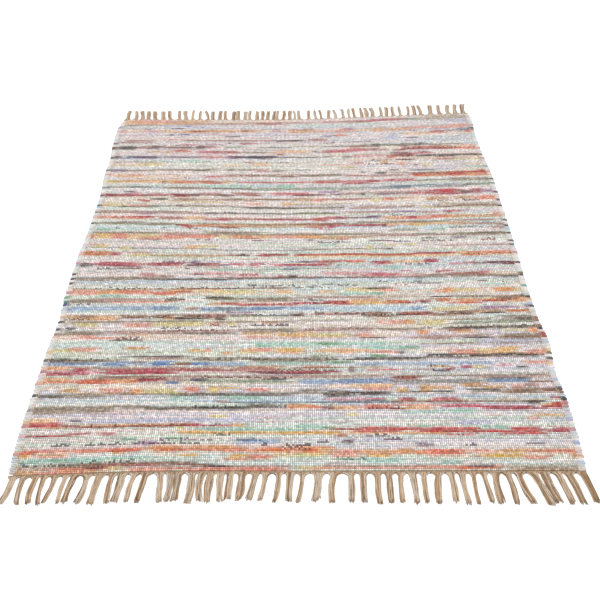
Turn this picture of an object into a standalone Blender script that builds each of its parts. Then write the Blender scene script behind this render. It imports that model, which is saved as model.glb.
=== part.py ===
# A flat-woven rag rug, lying on a floor: a ribbed field of rag strips over a cotton warp, and at each
# end a narrow woven heading with its fringe of warp yarn locks. Metres, +Z up, the far fringe at +Y.

import random
from collections import namedtuple

import bmesh
import bpy

# ---- Driving sizes ----

woven_length = 2.300        # from the near heading's outer edge to the far one's
heading_depth = 0.012       # plain tan weave beyond the last rag strip
parting = 0.0003            # between the field and a heading
rib_count = 164             # there-and-back passes of the rag weft
valley_height = 0.0048
crest_height = 0.0066
crest_spread = 0.0004       # crests differ by this much either way
edge_valley_height = 0.0036
edge_crest_height = 0.0048
loop_depth = 0.0025         # how far a turned rag stands out of, or a gap behind, the edge's mean line
loop_spread = 0.0015
heading_height = 0.0044
lock_height = 0.0042
lock_crown = 0.55           # a lock's top width as a share of its foot's
lock_clearance = 0.0025     # least space between neighbouring locks

# The middle of the whole rug, fringes included, seen from the middle of its woven field.
rug_middle = (0.006, 0.025)

# Where the field's mesh has its columns, between the two selvedges.
column_places = (-0.79, -0.60, -0.40, -0.20, 0.0, 0.20, 0.40, 0.60, 0.79)

# How far the weft bows off a straight line, in millimetres towards the far end, at five places that
# stand bow_step apart from one selvedge to the other.
bow_step = 0.4
Bow = namedtuple("Bow", "along far_left left middle right far_right")
bows = (
    Bow(-1.150, -12, 2, 0, 0, -2),
    Bow(-1.050, -8, 6, 2, -6, -9),
    Bow(-0.900, -5, 1, 0, -3, -5),
    Bow(-0.800, -8, 0, 0, 8, 12),
    Bow(-0.650, -2, 4, -2, 0, 6),
    Bow(-0.440, -6, -1, 1, 4, 18),
    Bow(-0.185, 5, -2, 0, 4, 15),
    Bow(-0.030, 15, 3, -2, 6, 14),
    Bow(0.120, 17, 8, -3, 2, 13),
    Bow(0.320, 20, 10, -4, 10, 16),
    Bow(0.460, 14, 4, -2, 18, 40),
    Bow(0.650, 0, 0, -3, 8, 22),
    Bow(0.800, 8, 0, -2, 22, 45),
    Bow(0.930, 6, 0, 0, 30, 55),
    Bow(1.050, 3, 0, -2, 26, 62),
    Bow(1.150, 5, 0, 0, 32, 63),
)

# The mean lines of the two selvedges, in millimetres across.
Edges = namedtuple("Edges", "along left right")
selvedges = (
    Edges(-1.150, -801, 803),
    Edges(-1.050, -808, 812),
    Edges(-0.850, -810, 819),
    Edges(-0.720, -808, 812),
    Edges(-0.580, -808, 826),
    Edges(-0.430, -800, 816),
    Edges(-0.280, -809, 815),
    Edges(-0.050, -808, 822),
    Edges(0.150, -801, 826),
    Edges(0.420, -799, 830),
    Edges(0.580, -809, 831),
    Edges(0.750, -808, 821),
    Edges(0.900, -818, 817),
    Edges(1.060, -819, 826),
    Edges(1.150, -802, 820),
)

# The fringe by eight even sections from left to right: how many locks, how far their tips swing to the
# right, how wide they are and how far they reach, in millimetres.
Section = namedtuple("Section", "locks swing width reach")
front_sections = (
    Section(7, -6, 14, 103),
    Section(6, -8, 15, 108),
    Section(7, 0, 16, 109),
    Section(6, -9, 17, 104),
    Section(5, -6, 15, 105),
    Section(6, -5, 15, 112),
    Section(6, 2, 15, 114),
    Section(6, 20, 18, 117),
)
back_sections = (
    Section(6, -5, 17, 97),
    Section(6, -8, 14, 100),
    Section(7, -5, 14, 100),
    Section(8, -1, 13, 100),
    Section(6, -5, 13, 98),
    Section(7, 0, 14, 106),
    Section(6, 2, 15, 108),
    Section(5, 2, 18, 108),
)

root_spread = 0.20          # a root's shift, as a share of the locks' spacing
root_share = 0.84           # how much of its space along the heading a root takes up
width_spread = 0.25         # as a share of the width
swing_spread = 0.008
reach_spread = 0.005
waver_spread = 0.004        # how far a lock's middle strays from a straight line
swing_power = 1.3           # a lock leaves its root almost straight and swings further out

# From root to tip: the share of the reach, and how far the root's width has given way to the lock's.
Station = namedtuple("Station", "share gathered swell")
lock_stations = (
    Station(0.05, 0.55, 1.0),
    Station(0.14, 1.0, 0.95),
    Station(0.40, 1.0, 1.0),
    Station(0.70, 1.0, 1.05),
    Station(1.0, 1.0, 0.85),
)

field_seed = 3
front_seed = 11
back_seed = 12

rag_colour = (0.60, 0.57, 0.53)
warp_colour = (0.47, 0.36, 0.24)
cloth_roughness = 0.95

mm = 0.001

Lock = namedtuple("Lock", "root root_width tip width reach waver")


# ---- Plain helpers ----

def table_row(table, along):
    """A table's row at any place along the rug, with straight runs between its own rows."""
    along = min(max(along, table[0].along), table[-1].along)
    for below, above in zip(table, table[1:]):
        if along <= above.along:
            break
    share = (along - below.along) / (above.along - below.along)
    return [low + (high - low) * share for low, high in zip(below[1:], above[1:])]


def smooth_value(values, place):
    """A smooth curve through values that stand at places 0, 1, 2 and so on."""
    place = min(max(place, 0.0), len(values) - 1.0)
    index = min(int(place), len(values) - 2)
    share = place - index
    start, end = values[index], values[index + 1]
    start_slope = (end - values[max(index - 1, 0)]) / 2
    end_slope = (values[min(index + 2, len(values) - 1)] - start) / 2
    cubic = 2 * (start - end) + start_slope + end_slope
    square = 3 * (end - start) - 2 * start_slope - end_slope
    return start + share * (start_slope + share * (square + share * cubic))


def bow(across, along):
    """How far the weft line at this place lies from its straight course."""
    return smooth_value(table_row(bows, along), across / bow_step + 2) * mm


def edge_places(along):
    """The selvedges' mean places across, left and right."""
    left, right = table_row(selvedges, along)
    return left * mm, right * mm


def new_object(name, mesh_builder, material, parent):
    """Turn a bmesh into a named object with its material, carried by the rug's empty."""
    bmesh.ops.recalc_face_normals(mesh_builder, faces=mesh_builder.faces[:])
    mesh = bpy.data.meshes.new(name)
    mesh_builder.to_mesh(mesh)
    mesh_builder.free()
    mesh.materials.append(material)
    piece = bpy.data.objects.new(name, mesh)
    bpy.context.scene.collection.objects.link(piece)
    piece.parent = parent
    return piece


def new_material(name, colour):
    material = bpy.data.materials.new(name)
    material.use_nodes = True
    shader = material.node_tree.nodes["Principled BSDF"]
    shader.inputs["Base Color"].default_value = (*colour, 1.0)
    shader.inputs["Roughness"].default_value = cloth_roughness
    shader.inputs["Metallic"].default_value = 0.0
    return material


# ---- The woven field ----

def field_end(side):
    """The straight course of the field's last weft line, before it bows."""
    return side * (woven_length / 2 - heading_depth)


def field_rows(draw):
    """For each line of the field: its course, how far the edges stand out, and its heights."""
    row_count = 2 * rib_count + 1
    for row in range(row_count):
        along = field_end(-1) + (field_end(1) - field_end(-1)) * row / (row_count - 1)
        at_end = row in (0, row_count - 1)
        crest = row % 2 == 1
        out = loop_depth if crest else -loop_depth
        edges = [0.0 if at_end else out + draw.uniform(-loop_spread, loop_spread) for _ in range(2)]
        edge_height = edge_crest_height if crest else edge_valley_height
        heights = [crest_height + draw.uniform(-crest_spread, crest_spread) if crest else valley_height
                   for _ in column_places]
        yield along, edges, [edge_height, *heights, edge_height]


def make_field(material, parent):
    """A ribbed sheet over a flat underside, with scalloped selvedges."""
    rows = list(field_rows(random.Random(field_seed)))
    width = len(column_places) + 2
    builder = bmesh.new()
    grid = bmesh.ops.create_grid(builder, x_segments=width - 1, y_segments=len(rows) - 1, size=1.0)
    for index, vert in enumerate(grid["verts"]):
        along, edges, heights = rows[index // width]
        left, right = edge_places(along)
        places = [left - edges[0], *column_places, right + edges[1]]
        across = places[index % width]
        vert.co = (across, along + bow(across, along), heights[index % width])

    rim = [edge for edge in builder.edges if edge.is_boundary]
    skirt = bmesh.ops.extrude_edge_only(builder, edges=rim)["geom"]
    for vert in (item for item in skirt if isinstance(item, bmesh.types.BMVert)):
        vert.co.z = 0.0
    foot = [edge for edge in builder.edges if edge.is_boundary]
    bmesh.ops.edgeloop_fill(builder, edges=foot)
    return new_object("rug_field", builder, material, parent)


# ---- A heading and its fringe ----

def end_line(side, across):
    """The field's end at this place: straight runs between the field's own columns."""
    left, right = edge_places(field_end(side))
    places = [left, *column_places, right]
    for start, stop in zip(places, places[1:]):
        if across <= stop:
            break
    low, high = [field_end(side) + bow(place, field_end(side)) for place in (start, stop)]
    return low + (high - low) * (across - start) / (stop - start)


def draw_roots(sections, left, right, draw):
    """Each lock's root, the space that it may take up, and its section, from left to right."""
    section_length = (right - left) / len(sections)
    roots = []
    for index, section in enumerate(sections):
        spacing = section_length / section.locks
        for number in range(section.locks):
            shift = draw.uniform(-root_spread, root_spread)
            roots.append((left + index * section_length + (number + 0.5 + shift) * spacing, section))
    between = [after[0] - before[0] for before, after in zip(roots, roots[1:])]
    gaps = [2 * (roots[0][0] - left), *between, 2 * (right - roots[-1][0])]
    spaces = [min(pair) * root_share for pair in zip(gaps, gaps[1:])]
    return [(root, space, section) for (root, section), space in zip(roots, spaces)]


def lock_place(lock, share):
    """Where a lock's middle lies across the rug, at a share of its reach."""
    sway = 4 * share * (1 - share) * lock.waver
    return lock.root + (lock.tip - lock.root) * share ** swing_power + sway


def draw_locks(sections, left, right, draw):
    """The locks from left to right, each kept clear of the one before it."""
    locks = []
    for root, space, section in draw_roots(sections, left, right, draw):
        width = section.width * mm * (1 + draw.uniform(-width_spread, width_spread))
        tip = root + section.swing * mm + draw.uniform(-swing_spread, swing_spread)
        reach = section.reach * mm + draw.uniform(-reach_spread, reach_spread)
        waver = draw.uniform(-waver_spread, waver_spread)
        lock = Lock(root, space, tip, min(width, space), reach, waver)
        if locks:
            nearest = (locks[-1].width + lock.width) / 2 + lock_clearance
            tip = max(tip, locks[-1].tip + nearest)
            lock = lock._replace(tip=tip)
            short = lock_place(locks[-1], 0.5) + nearest - lock_place(lock, 0.5)
            lock = lock._replace(waver=waver + max(short, 0.0))
        locks.append(lock)
    return locks


def grow_lock(builder, wall, lock, side, edge_along):
    """Draw one lock out of the heading's outer wall, its foot level on the floor all the way."""
    face = wall
    for station in lock_stations:
        face = bmesh.ops.extrude_discrete_faces(builder, faces=[face])["faces"][0]
        middle = face.calc_center_median()
        across = lock_place(lock, station.share)
        width = lock.root_width + (lock.width * station.swell - lock.root_width) * station.gathered
        for vert in face.verts:
            hand = -1 if vert.co.x < middle.x else 1
            is_foot = vert.co.z < middle.z
            vert.co.x = across + hand * width / 2 * (1.0 if is_foot else lock_crown)
            vert.co.y = edge_along + side * lock.reach * station.share
            vert.co.z = 0.0 if is_foot else lock_height


def make_fringe(name, side, sections, seed, material, parent):
    """A narrow heading along the field's end, with its locks fused to the outer wall."""
    left, right = edge_places(field_end(side))
    locks = draw_locks(sections, left, right, random.Random(seed))
    roots = [lock.root + hand * lock.root_width / 2 for lock in locks for hand in (-1, 1)]

    def outline_point(across, out):
        return builder.verts.new((across, end_line(side, across) + side * out, 0.0))

    builder = bmesh.new()
    inner = [outline_point(across, parting) for across in [left, *column_places, right]]
    outer = [outline_point(across, heading_depth) for across in [left, *roots, right]]
    plate = builder.faces.new([*inner, *reversed(outer)])
    raised = bmesh.ops.extrude_face_region(builder, geom=[plate])["geom"]
    for vert in (item for item in raised if isinstance(item, bmesh.types.BMVert)):
        vert.co.z = heading_height

    for index, lock in enumerate(locks):
        root_ends = outer[2 * index + 1], outer[2 * index + 2]
        foot = next(edge for edge in root_ends[0].link_edges if root_ends[1] in edge.verts)
        wall = next(face for face in foot.link_faces if face != plate)
        grow_lock(builder, wall, lock, side, end_line(side, lock.root) + side * heading_depth)
    return new_object(name, builder, material, parent)


# ---- The rug ----

for leftover in list(bpy.data.objects):
    bpy.data.objects.remove(leftover, do_unlink=True)

rug = bpy.data.objects.new("rug", None)
bpy.context.scene.collection.objects.link(rug)
rug.location = (-rug_middle[0], -rug_middle[1], 0.0)

rag_weave = new_material("rag_weave", rag_colour)
warp_yarn = new_material("warp_yarn", warp_colour)

make_field(rag_weave, rug)
make_fringe("fringe_front", -1, front_sections, front_seed, warp_yarn, rug)
make_fringe("fringe_back", 1, back_sections, back_seed, warp_yarn, rug)
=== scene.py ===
import math
import random

import bmesh
import bpy
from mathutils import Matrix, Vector, noise


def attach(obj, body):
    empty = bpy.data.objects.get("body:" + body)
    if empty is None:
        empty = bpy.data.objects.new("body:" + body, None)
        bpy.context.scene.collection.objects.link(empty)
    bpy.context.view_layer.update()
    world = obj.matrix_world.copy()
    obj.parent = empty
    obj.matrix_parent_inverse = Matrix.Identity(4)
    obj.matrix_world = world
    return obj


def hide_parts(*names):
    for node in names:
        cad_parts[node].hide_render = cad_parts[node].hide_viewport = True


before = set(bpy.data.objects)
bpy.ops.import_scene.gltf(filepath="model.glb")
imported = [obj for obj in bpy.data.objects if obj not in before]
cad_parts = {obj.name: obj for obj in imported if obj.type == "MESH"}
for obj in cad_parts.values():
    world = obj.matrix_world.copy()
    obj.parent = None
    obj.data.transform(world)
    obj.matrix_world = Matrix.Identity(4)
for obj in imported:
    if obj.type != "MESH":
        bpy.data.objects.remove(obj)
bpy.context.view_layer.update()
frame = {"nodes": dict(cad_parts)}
print("frame loaded:", ", ".join(frame["nodes"]))

# The rug's plan, as its solids have it. Places are seen from the middle of the woven field, along
# towards the far end and across to the right.
plan = {
    "origin": (0.006, 0.025),   # the frame's own
    "wovenLength": 2.300,
    "headingDepth": 0.012,
    "parting": 0.0003,
    "bowStep": 0.4,
    "columnPlaces": (-0.79, -0.60, -0.40, -0.20, 0.0, 0.20, 0.40, 0.60, 0.79),
    # along, then how far the weft bows at five places from left to right, in mm but for along
    "bows": (
        (-1.150, -12, 2, 0, 0, -2), (-1.050, -8, 6, 2, -6, -9), (-0.900, -5, 1, 0, -3, -5),
        (-0.800, -8, 0, 0, 8, 12), (-0.650, -2, 4, -2, 0, 6), (-0.440, -6, -1, 1, 4, 18),
        (-0.185, 5, -2, 0, 4, 15), (-0.030, 15, 3, -2, 6, 14), (0.120, 17, 8, -3, 2, 13),
        (0.320, 20, 10, -4, 10, 16), (0.460, 14, 4, -2, 18, 40), (0.650, 0, 0, -3, 8, 22),
        (0.800, 8, 0, -2, 22, 45), (0.930, 6, 0, 0, 30, 55), (1.050, 3, 0, -2, 26, 62),
        (1.150, 5, 0, 0, 32, 63),
    ),
    # along, then the mean lines of the left and right selvedges in mm
    "selvedges": (
        (-1.150, -801, 803), (-1.050, -808, 812), (-0.850, -810, 819), (-0.720, -808, 812),
        (-0.580, -808, 826), (-0.430, -800, 816), (-0.280, -809, 815), (-0.050, -808, 822),
        (0.150, -801, 826), (0.420, -799, 830), (0.580, -809, 831), (0.750, -808, 821),
        (0.900, -818, 817), (1.060, -819, 826), (1.150, -802, 820),
    ),
}
mm = 0.001


def tableRow(table, along):
    along = min(max(along, table[0][0]), table[-1][0])
    for below, above in zip(table, table[1:]):
        if along <= above[0]:
            break
    share = (along - below[0]) / (above[0] - below[0])
    return [low + (high - low) * share for low, high in zip(below[1:], above[1:])]


def smoothValue(values, place):
    place = min(max(place, 0.0), len(values) - 1.0)
    index = min(int(place), len(values) - 2)
    share = place - index
    start, end = values[index], values[index + 1]
    startSlope = (end - values[max(index - 1, 0)]) / 2
    endSlope = (values[min(index + 2, len(values) - 1)] - start) / 2
    cubic = 2 * (start - end) + startSlope + endSlope
    square = 3 * (end - start) - 2 * startSlope - endSlope
    return start + share * (startSlope + share * (square + share * cubic))


def bow(across, along):
    return smoothValue(tableRow(plan["bows"], along), across / plan["bowStep"] + 2) * mm


def edgePlaces(along):
    left, right = tableRow(plan["selvedges"], along)
    return left * mm, right * mm


def edgePlace(side, along):
    return edgePlaces(along)[0 if side < 0 else 1]


def fieldEnd(side):
    return side * (plan["wovenLength"] / 2 - plan["headingDepth"])


def endLine(side, across):
    left, right = edgePlaces(fieldEnd(side))
    places = [left, *plan["columnPlaces"], right]
    for start, stop in zip(places, places[1:]):
        if across <= stop:
            break
    low, high = [fieldEnd(side) + bow(place, fieldEnd(side)) for place in (start, stop)]
    return low + (high - low) * (across - start) / (stop - start)


def settle(across, along, height):
    # from the woven field's middle to the part's own frame
    return Vector((across - plan["origin"][0], along - plan["origin"][1], height))


# Dyes as they look in daylight, from 0 to 255.
dyes = {
    "white": (230, 226, 222), "grey": (206, 204, 201), "paleGrey": (216, 213, 210), "aqua": (204, 219, 214),
    "mint": (208, 219, 204), "lilac": (213, 207, 217), "shell": (230, 211, 207), "cream": (228, 215, 197),
    "peach": (232, 206, 188), "lichen": (205, 207, 192), "frost": (194, 205, 214),
    "seaGreen": (152, 196, 178), "crimson": (172, 60, 84), "wine": (120, 48, 62), "red": (190, 44, 50),
    "flame": (210, 112, 78), "orange": (222, 152, 94), "fawn": (216, 168, 124), "coral": (218, 138, 118),
    "salmon": (222, 160, 142), "pink": (218, 165, 175), "rose": (196, 118, 128), "cedar": (168, 112, 104),
    "magenta": (182, 62, 110), "mustard": (218, 172, 86), "yellow": (226, 206, 124),
    "ochre": (196, 150, 86), "tan": (190, 158, 126), "brown": (146, 112, 92), "cocoa": (92, 70, 60),
    "rust": (160, 84, 66), "amber": (196, 126, 80), "taupe": (150, 137, 121), "umber": (113, 101, 89),
    "dove": (178, 150, 142), "olive": (128, 124, 92), "moss": (88, 86, 66), "black": (58, 52, 54),
    "sable": (66, 52, 46), "coal": (92, 90, 92), "steel": (150, 150, 150), "sage": (150, 160, 142),
    "green": (122, 166, 130), "teal": (110, 168, 152), "pine": (70, 120, 110), "jade": (164, 200, 188),
    "tealGrey": (132, 172, 152), "blue": (98, 134, 180), "denim": (128, 152, 182), "sky": (156, 178, 202),
    "mist": (182, 200, 214), "lavender": (190, 190, 212), "brick": (180, 90, 74), "blush": (208, 160, 160),
    "apricot": (226, 182, 140), "khaki": (208, 194, 142), "sand": (186, 174, 158), "slate": (112, 128, 142),
    "navy": (62, 62, 94), "indigo": (92, 86, 136), "periwinkle": (152, 158, 204), "mauve": (166, 136, 164),
    "plum": (114, 72, 104), "sloe": (80, 52, 74), "dusk": (134, 118, 136),
}

dyeDepth = 1.26     # a strong dye is stronger than it looks among the warp's pale ends
dyeMiddle = 200     # its channels below this are made darker
dyeFloor = 14       # and none goes below this


def dyeColour(name):
    # from the screen's scale to the renderer's
    channels = []
    for channel in dyes[name]:
        if channel < dyeMiddle:
            channel = max(dyeMiddle + (channel - dyeMiddle) * dyeDepth, dyeFloor)
        channels.append((channel / 255 + 0.055) / 1.055)
    return Vector([channel ** 2.4 for channel in channels])


# The pale rags of the ground: from this place along, in mm, the dyes that they are drawn from at the
# left, in the middle and at the right.
ground = (
    (-1150, "aqua mint white", "aqua white mint", "white cream aqua"),
    (-1050, "shell white mint", "white lilac aqua", "white shell grey"),
    (-985, "white mint aqua", "mint white aqua", "aqua white mint"),
    (-925, "white lilac shell", "white cream lilac", "aqua white lilac"),
    (-875, "mint white aqua", "mint white cream", "aqua frost white"),
    (-840, "lilac white frost", "frost lilac white", "white shell frost"),
    (-790, "lichen white cream", "lichen lilac white", "lilac shell white"),
    (-730, "white lichen mint", "lilac white frost", "white lilac frost"),
    (-610, "mint white aqua", "mint white lilac", "white lilac shell"),
    (-545, "lilac shell white", "shell white lilac", "shell white lilac"),
    (-500, "cream white lilac", "cream shell white", "white aqua cream"),
    (-430, "aqua white mint", "aqua white mint", "white cream aqua"),
    (-300, "white aqua cream", "mint white aqua", "peach white shell"),
    (-220, "white frost shell", "aqua white mint", "frost white lilac"),
    (-165, "white shell grey", "mint aqua frost", "aqua frost lilac"),
    (-60, "mint white grey", "mint aqua lichen", "mint aqua lichen"),
    (-5, "lilac frost white", "lilac frost white", "lilac frost mint"),
    (18, "white shell grey", "lilac mint white", "mint white shell"),
    (140, "aqua frost mint", "aqua frost white", "aqua frost white"),
    (205, "mint white shell", "white mint lilac", "shell white aqua"),
    (260, "shell white mint", "lilac white shell", "shell lilac white"),
    (345, "shell cream white", "cream white shell", "shell white lilac"),
    (395, "lilac white mint", "shell white mint", "shell white lilac"),
    (460, "aqua white shell", "aqua lilac white", "white mint lilac"),
    (560, "shell white lilac", "shell white lilac", "cream white lilac"),
    (640, "lichen lilac white", "shell white lichen", "shell white lilac"),
    (720, "aqua white lilac", "aqua white shell", "shell white peach"),
    (770, "lilac white shell", "lilac white cream", "white peach shell"),
    (840, "shell white lilac", "shell cream white", "lilac frost white"),
    (945, "lilac white shell", "white lilac shell", "frost lilac shell"),
    (1040, "lilac frost white", "shell white lilac", "lilac white shell"),
    (1080, "shell lilac white", "shell white aqua", "lilac white shell"),
)

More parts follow.
